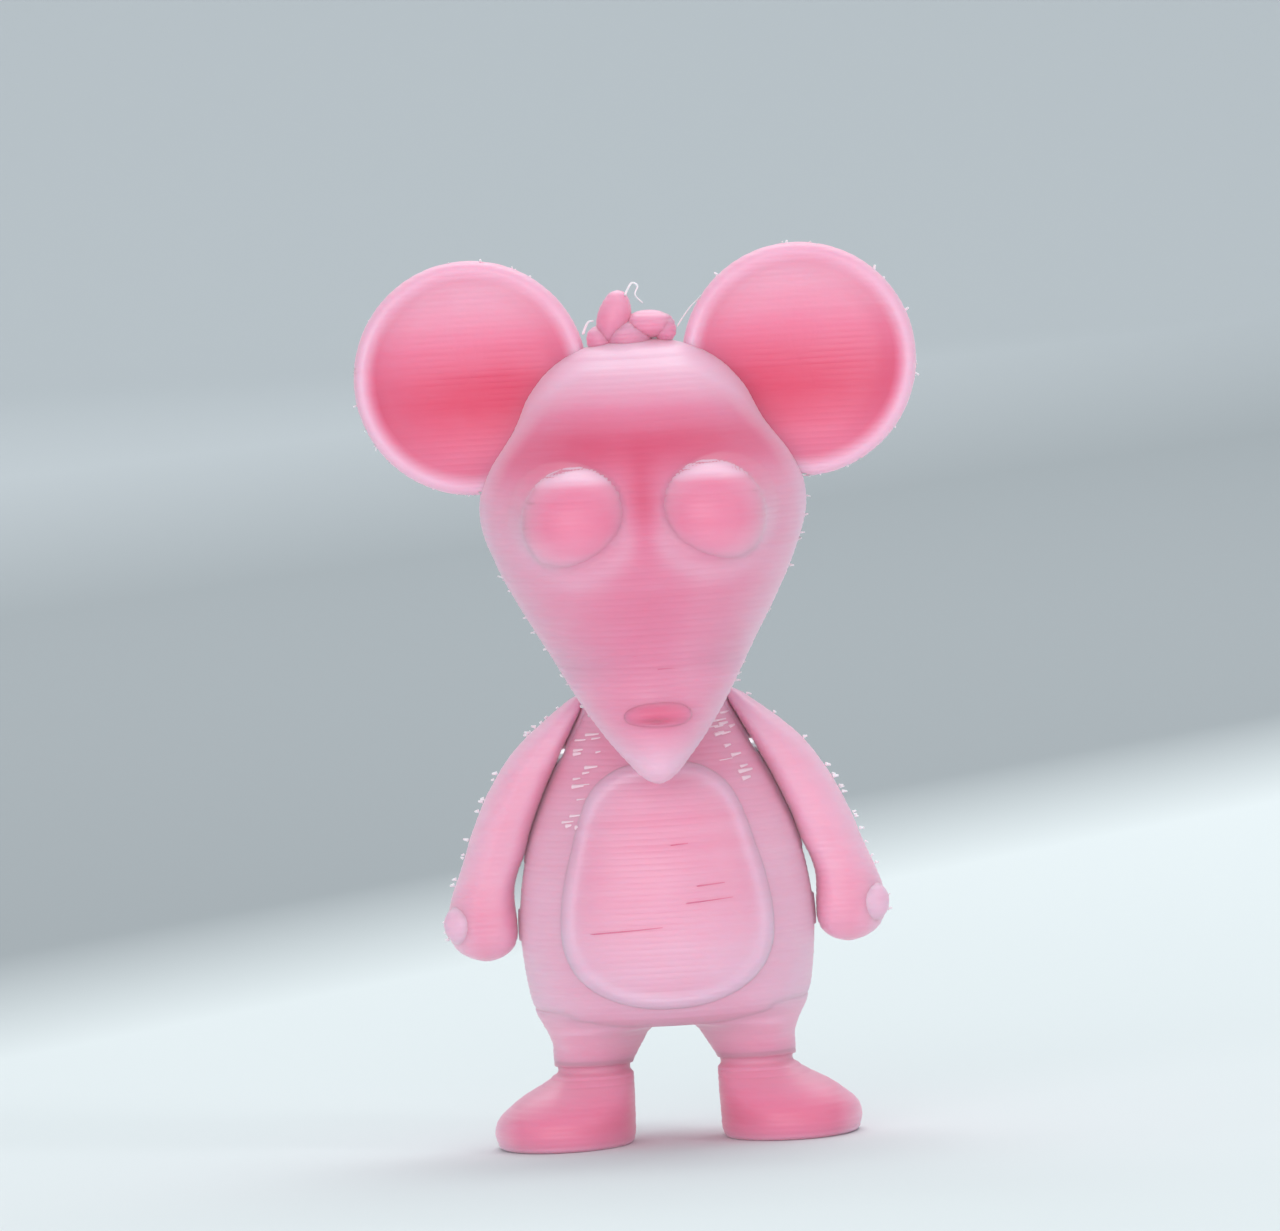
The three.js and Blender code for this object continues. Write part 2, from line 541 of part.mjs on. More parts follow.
function pillar([x, z]) {
  const body = rod(0.6, x, z, [frontPlate[1] + 0.15, rearPlate[0] - 0.15], 10);
  return join(body, rod(0.35, x, z, [frontPlate[0] - 0.2, rearPlate[1] + 0.2], 10));
}

function windingArbor() {
  return join(
    rod(ARBOR_RADIUS, 0, greatZ, [span[0], springLayer[1]]),
    rod(ARBOR_RADIUS + 0.05, 0, greatZ, [springLayer[1] - 0.2, KEY_REACH - 4]),
  );
}

function windingKey() {
  const shape = new THREE.Shape();
  const lobe = KEY_HEIGHT / 2;
  const reach = KEY_SPAN / 2 - lobe;
  const bow = (side) => {
    const outline = new THREE.Shape().absarc(side * reach, 0, lobe, 0, 2 * Math.PI);
    outline.holes.push(new THREE.Path().absarc(side * reach, 0, lobe * 0.45, 0, 2 * Math.PI, true));
    return outline;
  };
  shape.moveTo(-reach, -0.9).lineTo(reach, -0.9).lineTo(reach, 0.9).lineTo(-reach, 0.9).closePath();
  const flat = (outline) => solidOf(
    new THREE.ExtrudeGeometry(outline, { depth: 1.1, bevelEnabled: false, curveSegments: 9 })
      .translate(0, KEY_REACH - lobe, greatZ - 0.55),
  );
  const bowHole = (x, y) => bar(lobe * 0.45, [x, y, greatZ - 2], [x, y, greatZ + 2], 18);
  const bridge = cut(flat(shape), ...[1, -1].map((side) => bowHole(side * reach, KEY_REACH - lobe)));
  const stem = rod(1.5, 0, greatZ, [torsoDepthAt(greatZ) + 0.6, KEY_REACH - lobe - 0.4], 20);
  const socket = rod(ARBOR_RADIUS + 0.2, 0, greatZ, [0, KEY_REACH - 3.8]);
  return cut(join(flat(bow(1)), flat(bow(-1)), bridge, stem), socket);
}

function torsoDepthAt(z) {
  return (torsoHalf(z) * TORSO_DEPTH) / TORSO_WIDTH;
}

function mainspring() {
  const start = 1.2;
  const steps = SPRING_TURNS * 14;
  const point = (i, offset) => {
    const angle = (2 * Math.PI * i) / 14;
    const radius = start + ((SPRING_RADIUS - start) * i) / steps + offset;
    return new THREE.Vector2(radius * Math.cos(angle), radius * Math.sin(angle));
  };
  const along = Array.from({ length: steps + 1 }, (_, i) => i);
  const outer = along.map((i) => point(i, SPRING_LEAF / 2));
  const inner = along.map((i) => point(i, -SPRING_LEAF / 2)).reverse();
  return at(new THREE.Shape([...outer, ...inner]), 0, greatZ, springLayer);
}

function ratchetWheel() {
  const shape = toothed(14, ratchetRadius - 0.4, ratchetRadius, 0.9, 0.15, 0, ARBOR_RADIUS + 0.15, 0.35);
  return at(shape, 0, greatZ, ratchetLayer);
}

// a flat link with a given half width between two points
function link(from, to, half) {
  const [a, b] = [new THREE.Vector2(...from), new THREE.Vector2(...to)];
  const along = b.clone().sub(a).normalize().multiplyScalar(half);
  const side = new THREE.Vector2(-along.y, along.x);
  const corner = (end, sign) => end.clone().addScaledVector(side, sign);
  return new THREE.Shape([corner(a, -1), corner(b, -1), corner(b, 1), corner(a, 1)]);
}

const polar = (radius, angle) => [radius * Math.cos(angle * degrees), radius * Math.sin(angle * degrees)];
const clickSpringRadius = greatRadius - 0.65; // just inside the teeth of the great wheel
const springFoot = polar(clickSpringRadius, 88);
const clickPivot = polar(ratchetRadius + 1.4, 60);

function click() {
  const nib = polar(ratchetRadius + 0.45, 10);
  const arm = at(link(clickPivot, nib, 0.25), 0, greatZ, ratchetLayer);
  const hub = rod(0.5, clickPivot[0], greatZ + clickPivot[1], ratchetLayer, 12);
  return join(arm, hub, rod(0.25, clickPivot[0], greatZ + clickPivot[1], [greatLayer[0], ratchetLayer[1]]));
}

function clickSpring() {
  const bend = polar(clickSpringRadius - 0.1, 52);
  const tip = polar(clickSpringRadius - 0.8, 28);
  const strip = join(
    at(link(springFoot, bend, 0.12), 0, greatZ, ratchetLayer),
    at(link(bend, tip, 0.12), 0, greatZ, ratchetLayer),
  );
  return join(strip, rod(0.3, springFoot[0], greatZ + springFoot[1], [greatLayer[0], ratchetLayer[1]]));
}

function greatWheel() {
  const wheel = at(gearOutline(GREAT_TEETH, 0, ARBOR_RADIUS + 0.15), 0, greatZ, greatLayer);
  return cut(
    wheel,
    rod(0.4, clickPivot[0], greatZ + clickPivot[1], widened(greatLayer, 1), 12),
    rod(0.42, springFoot[0], greatZ + springFoot[1], widened(greatLayer, 1), 12),
  );
}

function pinionArbor(teeth, phase, x, z, layer) {
  const pinion = at(gearOutline(teeth, phase, 0), x, z, widened(layer, 0.1));
  return join(pinion, rod(ARBOR_RADIUS, x, z, span));
}

function secondWheel() {
  return at(gearOutline(SECOND_TEETH, secondPhase, ARBOR_RADIUS + 0.15), 0, secondZ, secondLayer);
}

function escapeWheel() {
  const shape = toothed(12, ESCAPE_RADIUS - 0.5, ESCAPE_RADIUS, 0.6, 0.12, 0, ARBOR_RADIUS + 0.15);
  return at(shape, escapeX, escapeZ, escapeLayer);
}

function pallet() {
  const pivot = [palletX, palletZ];
  const prongs = [-55, 55].map((turn) => {
    const tip = polar(ESCAPE_RADIUS + 0.6, palletAngle / degrees + turn);
    return at(link(pivot, [escapeX + tip[0], escapeZ + tip[1]], 0.2), 0, 0, escapeLayer);
  });
  const hub = rod(ARBOR_RADIUS + 0.35, ...pivot, escapeLayer);
  return cut(join(hub, ...prongs), rod(ARBOR_RADIUS + 0.15, ...pivot, widened(escapeLayer, 1)));
}

function crankDisc() {
  const disc = rod(1.3, 0, outputZ, crankLayer, 20);
  const pin = rod(0.3, 0, outputZ - CRANK_THROW, [rockerLayer[0] - 0.1, crankLayer[1] - 0.1], 12);
  const bore = rod(ARBOR_RADIUS + 0.15, 0, outputZ, [crankLayer[0] + 0.2, crankLayer[1] + 1]);
  return join(cut(disc, bore), pin);
}

function rockerBeam() {
  const half = WADDLE_ARM + 0.8;
  const beam = box([-half, half], rockerLayer, [rockerZ - 1.1, rockerZ + 1.1]);
  const hub = rod(1.3, 0, rockerZ, rockerLayer, 20);
  const window = CRANK_THROW + 0.3 + 0.7;
  const parts = [beam, hub];
  const cuts = [rod(0.65, 0, rockerZ, widened(rockerLayer, 1), 16)];
  for (const side of [1, -1]) {
    parts.push(mirrored(box([window, window + 0.6], rockerLayer, [outputZ - 1.3, rockerZ]), side));
    cuts.push(mirrored(box([WADDLE_ARM - 0.8, half + 1], widened(rockerLayer, 1),
      [rockerZ - 0.62, rockerZ + 0.62]), side));
  }
  return cut(join(...parts), ...cuts);
}

function rockerPivot() {
  const stud = rod(0.4, 0, rockerZ, [rockerLayer[0] - 0.3, frontPlate[1]], 14);
  return join(stud, rod(0.95, 0, rockerZ, [rockerLayer[0] - 0.7, rockerLayer[0] - 0.2], 16));
}

// ---------------------------------------------------------------- materials
const finish = (color, roughness, metalness = 0) => ({ color, roughness, metalness });
const pink = finish(0xf0a3b6, 0.55);
const deepPink = finish(0xe8708c, 0.5);
const palePink = finish(0xf4bccb, 0.5);
const brass = finish(0xc9a14a, 0.35, 1);
const steel = finish(0x9aa0a6, 0.3, 1);
const springSteel = finish(0x5d6673, 0.35, 1);

// ---------------------------------------------------------------- assembly
const mouse = new THREE.Group();
mouse.position.y = (SNOUT_REACH + NOSE_PROUD - KEY_REACH) / 2;

function add(name, solid, look) {
  const mesh = solid.getMesh();
  const geometry = new THREE.BufferGeometry();
  const corners = new Float32Array(mesh.numVert * 3);
  for (let i = 0; i < mesh.numVert; i += 1) {
    for (let k = 0; k < 3; k += 1) corners[3 * i + k] = mesh.vertProperties[mesh.numProp * i + k];
  }
  geometry.setAttribute("position", new THREE.BufferAttribute(corners, 3));
  geometry.setIndex(new THREE.BufferAttribute(new Uint32Array(mesh.triVerts), 1));
  geometry.computeVertexNormals();
  const part = new THREE.Mesh(geometry, new THREE.MeshStandardMaterial(look));
  part.name = name;
  mouse.add(part);
}

add("torso_front", torsoFront(), pink);
add("torso_back", torsoBack(), pink);
add("belly_panel", bellyPanel(), palePink);
add("head_front", headFront(), pink);
add("head_back", headBack(), pink);
add("neck_post", neckPost(), pink);
add("nose", nose(), deepPink);
add("hair_tuft", hairTuft(), palePink);
for (const [name, side] of [["left", 1], ["right", -1]]) {
  add(`${name}_ear`, ear(side), deepPink);
  add(`${name}_eye`, eye(side), palePink);
  add(`${name}_arm`, arm(side), pink);
  add(`${name}_shoulder_pin`, shoulderPin(side), steel);
  add(`${name}_leg`, leg(side), deepPink);
}
screwPlaces.forEach((place, i) => add(`body_screw_${i + 1}`, bodyScrew(place), steel));

add("front_plate", plate(frontPlate, true), brass);
add("rear_plate", plate(rearPlate, false), brass);
pillarPlaces.forEach((place, i) => add(`pillar_${i + 1}`, pillar(place), brass));
add("winding_key", windingKey(), steel);
add("winding_arbor", windingArbor(), steel);
add("ratchet_wheel", ratchetWheel(), steel);
add("click", click(), steel);
add("click_spring", clickSpring(), springSteel);
add("mainspring", mainspring(), springSteel);
add("great_wheel", greatWheel(), brass);
add("second_arbor", pinionArbor(PINION_TEETH, secondPhase, 0, secondZ, greatLayer), steel);
add("second_wheel", secondWheel(), brass);
add("escape_arbor", pinionArbor(PINION_TEETH, escapePhase, escapeX, escapeZ, secondLayer), steel);
add("escape_wheel", escapeWheel(), brass);
add("pallet_arbor", rod(ARBOR_RADIUS, palletX, palletZ, palletSpan), steel);
add("pallet", pallet(), steel);
add("output_arbor", pinionArbor(OUTPUT_TEETH, outputPhase, 0, outputZ, greatLayer), steel);
add("crank_disc", crankDisc(), steel);
add("rocker_beam", rockerBeam(), brass);
add("rocker_pivot", rockerPivot(), steel);

export default mouse;
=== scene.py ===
"""Skins, finishes and stage of a small printed wind-up mouse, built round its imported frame."""

import json
import math

import bmesh
import bpy
import numpy as np
from bpy.props import FloatProperty, FloatVectorProperty, PointerProperty
from mathutils import Matrix, Vector


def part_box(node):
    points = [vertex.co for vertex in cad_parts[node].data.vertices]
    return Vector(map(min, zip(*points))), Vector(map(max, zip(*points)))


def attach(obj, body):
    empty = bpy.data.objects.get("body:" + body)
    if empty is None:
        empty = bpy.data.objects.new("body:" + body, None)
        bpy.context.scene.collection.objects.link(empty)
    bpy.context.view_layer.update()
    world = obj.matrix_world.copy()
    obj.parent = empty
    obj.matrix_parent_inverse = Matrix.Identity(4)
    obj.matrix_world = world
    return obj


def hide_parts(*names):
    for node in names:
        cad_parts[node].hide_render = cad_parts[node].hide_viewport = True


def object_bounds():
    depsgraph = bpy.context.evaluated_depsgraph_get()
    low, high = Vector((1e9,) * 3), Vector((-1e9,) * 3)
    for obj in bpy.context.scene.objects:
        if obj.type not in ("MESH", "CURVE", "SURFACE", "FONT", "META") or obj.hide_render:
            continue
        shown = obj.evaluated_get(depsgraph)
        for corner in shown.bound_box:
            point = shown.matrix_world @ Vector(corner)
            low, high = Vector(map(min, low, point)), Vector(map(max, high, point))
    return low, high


bl_info = {
    "name": "Printed Clockwork Mouse",
    "version": (1, 0, 0),
    "blender": (4, 5, 0),
    "location": "3D View > Sidebar > Mouse",
    "description": "Builds the printed skins, metal parts and stage of a small wind-up mouse",
    "category": "Add Mesh",
}

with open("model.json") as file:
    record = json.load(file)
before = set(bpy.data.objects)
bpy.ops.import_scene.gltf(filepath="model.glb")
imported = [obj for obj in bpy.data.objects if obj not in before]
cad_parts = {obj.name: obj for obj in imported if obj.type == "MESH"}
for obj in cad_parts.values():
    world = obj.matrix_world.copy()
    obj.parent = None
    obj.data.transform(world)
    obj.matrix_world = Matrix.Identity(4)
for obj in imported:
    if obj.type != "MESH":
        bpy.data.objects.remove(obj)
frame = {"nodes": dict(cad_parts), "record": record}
CAD_BOX = [list(corner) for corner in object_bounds()]
MM = 0.001
SIDES = (("left", 1.0), ("right", -1.0))


def joint_place(name):
    """The place of a joint, from the record, in metres."""
    return next(j["pos_m"] for j in frame["record"]["behaviour"]["joints"] if j["name"] == name)


def node_box(name):
    """Lowest and highest corner of a CAD node as numpy arrays, in metres."""
    low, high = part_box(name)
    return np.array(low), np.array(high)


# ---------------------------------------------------------------- numbers a user may change
class MouseShape(bpy.types.PropertyGroup):
    layer: FloatProperty(
        name="Layer height", description="Height of one printed layer", default=0.00041,
        min=0.0001, unit="LENGTH", precision=5)
    ridge: FloatProperty(
        name="Ridge", description="How far the round side of a layer stands out", default=0.000016,
        min=0.0, unit="LENGTH", precision=6)
    wander: FloatProperty(
        name="Wander", description="How far a layer strays from the one below", default=0.000013,
        min=0.0, unit="LENGTH", precision=6)
    wall: FloatProperty(
        name="Wall", description="Thickness of the shells", default=0.0011,
        min=0.0004, unit="LENGTH", precision=5)
    seam: FloatProperty(
        name="Seam", description="Gap between two half shells", default=0.00006,
        min=0.0, unit="LENGTH", precision=6)


class MouseColours(bpy.types.PropertyGroup):
    # Pale, middle and deep are also the scale of the painted light and shade on the pink pieces: pale for
    # painted light on tops, rims and edges, deep for painted shade in dishes and hollows.
    pale: FloatVectorProperty(
        name="Pale", description="Thin plastic, lit through", subtype="COLOR", size=3,
        default=(0.88, 0.50, 0.645))
    middle: FloatVectorProperty(
        name="Middle", description="Plastic of ordinary thickness", subtype="COLOR", size=3,
        default=(0.82, 0.235, 0.375))
    deep: FloatVectorProperty(
        name="Deep", description="Thick or dished plastic", subtype="COLOR", size=3,
        default=(0.67, 0.045, 0.13))
    floor: FloatVectorProperty(
        name="Floor", description="Pale floor", subtype="COLOR", size=3, default=(0.76, 0.80, 0.805))
    backdrop: FloatVectorProperty(
        name="Backdrop", description="Grey floor behind", subtype="COLOR", size=3,
        default=(0.365, 0.39, 0.405))
    far_wall: FloatVectorProperty(
        name="Far wall", description="Grey wall behind", subtype="COLOR", size=3,
        default=(0.53, 0.56, 0.58))


# ---------------------------------------------------------------- curves and surfaces
def spline(x, knots, values):
    """Cubic through (knot, value) rows: each span is the Hermite blend of its ends, and the slope at a
    knot is that of the parabola through it and its neighbours. Values may have several columns."""
    knots = np.asarray(knots, float)
    values = np.asarray(values, float)
    x = np.clip(np.asarray(x, float), knots[0], knots[-1])
    slopes = np.gradient(values, knots, axis=0)
    i = np.clip(np.searchsorted(knots, x, side="right") - 1, 0, len(knots) - 2)
    h = knots[i + 1] - knots[i]
    t = (x - knots[i]) / h
    if values.ndim > 1:
        t = t[..., None]
        h = h[..., None]
    return ((2 * t**3 - 3 * t**2 + 1) * values[i] + (t**3 - 2 * t**2 + t) * h * slopes[i]
            + (3 * t**2 - 2 * t**3) * values[i + 1] + (t**3 - t**2) * h * slopes[i + 1])


def round_spline(x, knots, values):
    """Like spline, but through the squares of the values, so an outline that closes on its axis closes
    round, as a ball does: the square of a ball's half width is a parabola of height."""
    return np.sqrt(np.maximum(spline(x, knots, np.square(values)), 0.0))


def ellipses(z, half_x, half_y, mid_x, mid_y, turn):
    """Rows of horizontal ellipses: x = mid + half_x cos(turn), y = mid + half_y sin(turn), one row for
    each z; turn is a row of angles, or one row for each z."""
    turn = np.broadcast_to(turn, (len(z), np.shape(turn)[-1]))
    column = lambda v: np.broadcast_to(np.asarray(v, float), (len(z),))[:, None]
    x = column(mid_x) + column(half_x) * np.cos(turn)
    y = column(mid_y) + column(half_y) * np.sin(turn)
    return np.stack([x, y, np.broadcast_to(column(z), x.shape)], axis=-1)


def full_turn(count):
    return np.linspace(0, 2 * np.pi, count, endpoint=False)


def bell(x, middle, width):
    """A bell curve: exp(-((x - middle) / width)^2)."""
    return np.exp(-np.square((x - middle) / width))


def squared(wave, power):
    """A cosine or sine bent towards a square wave: sign(w) |w|^p."""
    return np.sign(wave) * np.abs(wave) ** power


def rows_between(low, high, step):
    """Heights from low to high, crowded at both ends so that a round end stays round."""
    count = max(12, int(round((high - low) / step)))
    plain = np.linspace(low, high, count)
    ends = low + (high - low) * (1 - np.cos(np.linspace(0, np.pi, 41))) / 2
    near = ends[(ends < plain[2]) | (ends > plain[-3])]
    return np.unique(np.concatenate([plain, near]))


def unit_normals(points, wrap):
    """Unit normals of a grid: the cross product of the steps along its two directions."""
    if wrap:
        across = np.roll(points, -1, axis=1) - np.roll(points, 1, axis=1)
    else:
        across = np.gradient(points, axis=1)
    along = np.gradient(points, axis=0)
    normals = np.cross(across, along)
    size = np.linalg.norm(normals, axis=-1, keepdims=True)
    normals = np.where(size > 1e-14, normals / np.maximum(size, 1e-14), 0.0)
    outward = np.sum(normals * (points - points.mean(axis=(0, 1))))
    return normals if outward > 0 else -normals


LAYER_TABLE = np.random.default_rng(7).uniform(-1, 1, (220, 4))


def printed(points, wrap=True, gain=1.0):
    """Gives a smooth grid the skin of a print. Each point moves along its normal by
    ridge * (2 sqrt(1 - (2f - 1)^2) - 1), where f is its share of the way through its layer, plus a
    drift of that layer: wander * (a + b sin(turn + c) + d sin(3 turn + a)), a to d fixed by the layer."""
    shape = bpy.context.scene.mouse_shape
    z = points[..., 2]
    layer = np.floor(z / shape.layer).astype(int)
    share = z / shape.layer - layer
    a, b, c, d = np.moveaxis(LAYER_TABLE[np.clip(layer, 0, len(LAYER_TABLE) - 1)], -1, 0)
    centre = points.mean(axis=(0, 1))
    turn = np.arctan2(points[..., 1] - centre[1], points[..., 0] - centre[0])
    bead = shape.ridge * (2 * np.sqrt(np.maximum(0, 1 - (2 * share - 1) ** 2)) - 1)
    drift = shape.wander * (0.5 * a + 0.5 * b * np.sin(turn + 3 * c) + 0.5 * d * np.sin(3 * turn + 3 * a))
    return points + gain * (bead + drift)[..., None] * unit_normals(points, wrap)


def quads(rows, columns, wrap):
    """Corner numbers of the quads of a grid, as an array with four columns."""
    index = np.arange(rows * columns).reshape(rows, columns)
    right = np.roll(index, -1, axis=1) if wrap else index[:, 1:]
    left = index if wrap else index[:, :-1]
    return np.stack([left[:-1], right[:-1], right[1:], left[1:]], axis=-1).reshape(-1, 4)


def mesh_object(name, points, faces, tint=None, smooth=True):
    """An object from points and faces. Doubles are merged, faces with no area go, and the faces are
    turned outwards. tint is one number a point, from 0 for pale to 1 for deep."""
    mesh = bpy.data.meshes.new(name)
    mesh.from_pydata(np.asarray(points, float).reshape(-1, 3).tolist(), [], [list(f) for f in faces])
    if tint is not None:
        layer = mesh.attributes.new("tint", "FLOAT", "POINT")
        layer.data.foreach_set("value", np.ascontiguousarray(np.clip(tint, 0, 1).ravel(), dtype=np.float32))
    work = bmesh.new()
    work.from_mesh(mesh)
    bmesh.ops.remove_doubles(work, verts=work.verts, dist=2e-6)
    bmesh.ops.dissolve_degenerate(work, edges=work.edges, dist=1e-6)
    bmesh.ops.recalc_face_normals(work, faces=work.faces)
    work.to_mesh(mesh)
    work.free()
    mesh.polygons.foreach_set("use_smooth", [smooth] * len(mesh.polygons))
    piece = bpy.data.objects.new(name, mesh)
    bpy.context.scene.collection.objects.link(piece)
    return piece


def closed_skin(name, points, tint):
    """A closed piece from rows of rings. The first and last ring are closed by a fan to their middle. tint
    is one number, or one for each point."""
    rows, columns = points.shape[:2]
    middles = points[[0, -1]].mean(axis=1)
    faces = quads(rows, columns, True).tolist()
    base = rows * columns
    ring = np.arange(columns)
    after = np.roll(ring, -1)
    faces += np.stack([after, ring, np.full(columns, base)], axis=-1).tolist()
    top = (rows - 1) * columns
    faces += np.stack([top + ring, top + after, np.full(columns, base + 1)], axis=-1).tolist()
    everything = np.concatenate([points.reshape(-1, 3), middles])
    tint = np.broadcast_to(tint, (rows, columns))
    tint = np.concatenate([tint.ravel(), tint[[0, -1]].mean(axis=1)])
    return mesh_object(name, everything, faces, tint)


def half_shell(name, points, centre, tint, open_rows):
    """A shell with a wall from a grid whose first and last columns lie on the seam. The inner side is
    the outer one drawn in towards the centre; a rim joins them along the seam on the open rows."""
    wall = bpy.context.scene.mouse_shape.wall
    rows, columns = points.shape[:2]
    arm = points - centre
    size = np.linalg.norm(arm, axis=-1, keepdims=True)
    inner = centre + arm * np.maximum(1 - 1.25 * wall / size, 0.55)
    faces = quads(rows, columns, False)
    index = np.arange(rows * columns).reshape(rows, columns)
    count = rows * columns
    rims = []
    for column in (0, columns - 1):
        edge = index[:, column]
        rim = np.stack([edge[:-1], edge[1:], edge[1:] + count, edge[:-1] + count], axis=-1)
        rims.append(rim[open_rows[:-1] | open_rows[1:]])
    faces = np.concatenate([faces, faces[:, ::-1] + count] + rims)
    return mesh_object(name, np.concatenate([points.reshape(-1, 3), inner.reshape(-1, 3)]), faces,
                       np.concatenate([tint.ravel(), tint.ravel()]))


def ball(centre, radii, rows, columns):
    """An ellipsoid grid: z = -rz cos(v), x and y = r sin(v) round the turn."""
    v = np.linspace(0.05, np.pi - 0.05, rows)
    return ellipses(centre[2] - radii[2] * np.cos(v), radii[0] * np.sin(v), radii[1] * np.sin(v),
                    centre[0], centre[1], full_turn(columns))


def finish_piece(piece, body, slot, *nodes):
    """Rides on a body and stands for its CAD nodes; slot is not used."""
    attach(piece, body)
    if nodes:
        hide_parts(*nodes)
    return piece


# ---------------------------------------------------------------- finishes
class Wire:
    """An output of a finish, with its arithmetic written as Python."""

    def __init__(self, finish, socket):
        self.finish = finish
        self.socket = socket

    def math(self, operation, *others):
        sockets = dict(enumerate((self,) + others))
        return self.finish.wire("ShaderNodeMath", {"operation": operation}, sockets)

    def __add__(self, other):
        return self.math("ADD", other)

    def __mul__(self, other):
        return self.math("MULTIPLY", other)

    def __sub__(self, other):
        return self.math("SUBTRACT", other)


class Finish:
    """A material and the nodes in it."""

    def __init__(self, name):
        self.material = bpy.data.materials.new(name)
        self.material.use_nodes = True
        self.nodes = self.material.node_tree.nodes
        self.links = self.material.node_tree.links
        self.nodes.clear()

    def node(self, kind, settings=None, sockets=None):
        """A node of a kind. Its settings come first, then the values or wires of its sockets."""
        node = self.nodes.new(kind)
        for key, value in (settings or {}).items():
            if key == "stops":
                for stop in range(len(value) - 2):
                    node.color_ramp.elements.new(0.5)
                for element, (place, colour) in zip(node.color_ramp.elements, value):
                    element.position = place
                    element.color = (*colour, 1.0)
            else:
                setattr(node, key, value)
        for key, value in (sockets or {}).items():
            if isinstance(value, Wire):
                self.links.new(value.socket, node.inputs[key])
            else:
                node.inputs[key].default_value = value
        return node

    def wire(self, kind, settings=None, sockets=None, output=0):
        return Wire(self, self.node(kind, settings, sockets).outputs[output])

    def place(self):
        """Object coordinates: a piece sits at the origin, so they are its place in metres."""
        return self.wire("ShaderNodeTexCoord", output=3)

    def noise(self, scale, detail=2.0, stretch=(1.0, 1.0, 1.0)):
        spread = self.wire("ShaderNodeMapping", {}, {"Vector": self.place(), "Scale": stretch})
        return self.wire("ShaderNodeTexNoise", {}, {"Vector": spread, "Scale": scale, "Detail": detail})

    def shaded(self, constants, varying):
        """Ends the finish in one Principled shader."""
        shader = self.node("ShaderNodeBsdfPrincipled", {}, {**constants, **varying})
        output = self.node("ShaderNodeOutputMaterial")
        self.links.new(shader.outputs[0], output.inputs[0])
        return self.material


def plastic(name, through=0.5, gloss=0.36, streak=0.11, lift=0.0):
    """Pink printed plastic. Its colour runs from pale to deep with the tint of the piece, which holds its
    painted light and shade, and a streak that changes from layer to layer, and lift brings it towards white,
    as painted light on thin strings and painted highlight on the chest glints. Its bump is the groove between
    layers,
    |sin| of height, and a fine grain."""
    shape = bpy.context.scene.mouse_shape
    colours = bpy.context.scene.mouse_colours
    made = Finish(name)
    tint = made.wire("ShaderNodeAttribute", {"attribute_name": "tint"}, output=2)
    bands = made.noise(60.0, 2.0, (1.0, 1.0, 24.0))
    clouds = made.noise(140.0, 3.0)
    level = tint + (bands - 0.5) * streak + (clouds - 0.5) * 0.2
    stops = []
    for place, shade in ((0.0, colours.pale), (0.5, colours.middle), (1.0, colours.deep)):
        stops.append((place, [channel + lift * (1 - channel) for channel in shade]))
    colour = made.wire("ShaderNodeValToRGB", {"stops": stops}, {0: level})
    height = made.wire("ShaderNodeSeparateXYZ", {}, {0: made.place()}, output=2)
    groove = (height * (math.pi / shape.layer)).math("SINE").math("ABSOLUTE").math("POWER", 0.4)
    grain = made.noise(9000.0, 2.0)
    relief = groove * 0.7 + grain * 0.3 + made.noise(1500.0, 1.0, (1.0, 1.0, 3.0)) * 0.5
    normal = made.wire("ShaderNodeBump", {}, {"Strength": 0.4, "Distance": 0.00003, "Height": relief})
    roughness = (clouds - 0.5) * 0.25 + grain * 0.12 + gloss
    constants = {
        "Subsurface Weight": through, "Subsurface Radius": (1.0, 0.36, 0.46), "Subsurface Scale": 0.0026,
        "Sheen Weight": 0.35, "Sheen Roughness": 0.45, "Sheen Tint": (1.0, 0.85, 0.9, 1.0), "IOR": 1.46,
    }
    return made.shaded(constants, {"Base Color": colour, "Roughness": roughness, "Normal": normal})


def metal(name, dark, bright, roughness, direction):
    """Drawn or rolled metal: fine marks along one direction vary its colour, gloss and bump, and larger
    clouds dull it where it is handled."""
    made = Finish(name)
    marks = made.noise(4000.0, 3.0, direction)
    clouds = made.noise(260.0, 3.0)
    stops = [(0.25, dark), (0.8, bright)]
    colour = made.wire("ShaderNodeValToRGB", {"stops": stops}, {0: clouds * 0.6 + marks * 0.4})
    gloss = marks * 0.16 + clouds * 0.18 + roughness
    normal = made.wire("ShaderNodeBump", {}, {"Strength": 0.4, "Distance": 0.00001, "Height": marks})
    return made.shaded({"Metallic": 1.0}, {"Base Color": colour, "Roughness": gloss, "Normal": normal})


def gap_shadow(name):
    """Painted shade: the deep pink of the shade inside an open join, worn by a raised thread."""
    made = Finish(name)
    clouds = made.noise(900.0, 2.0)
    stops = [(0.2, (0.80, 0.16, 0.29)), (0.8, (0.86, 0.24, 0.38))]
    colour = made.wire("ShaderNodeValToRGB", {"stops": stops}, {0: clouds})
    return made.shaded({"Subsurface Weight": 0.3}, {"Base Color": colour, "Roughness": clouds * 0.3 + 0.6})


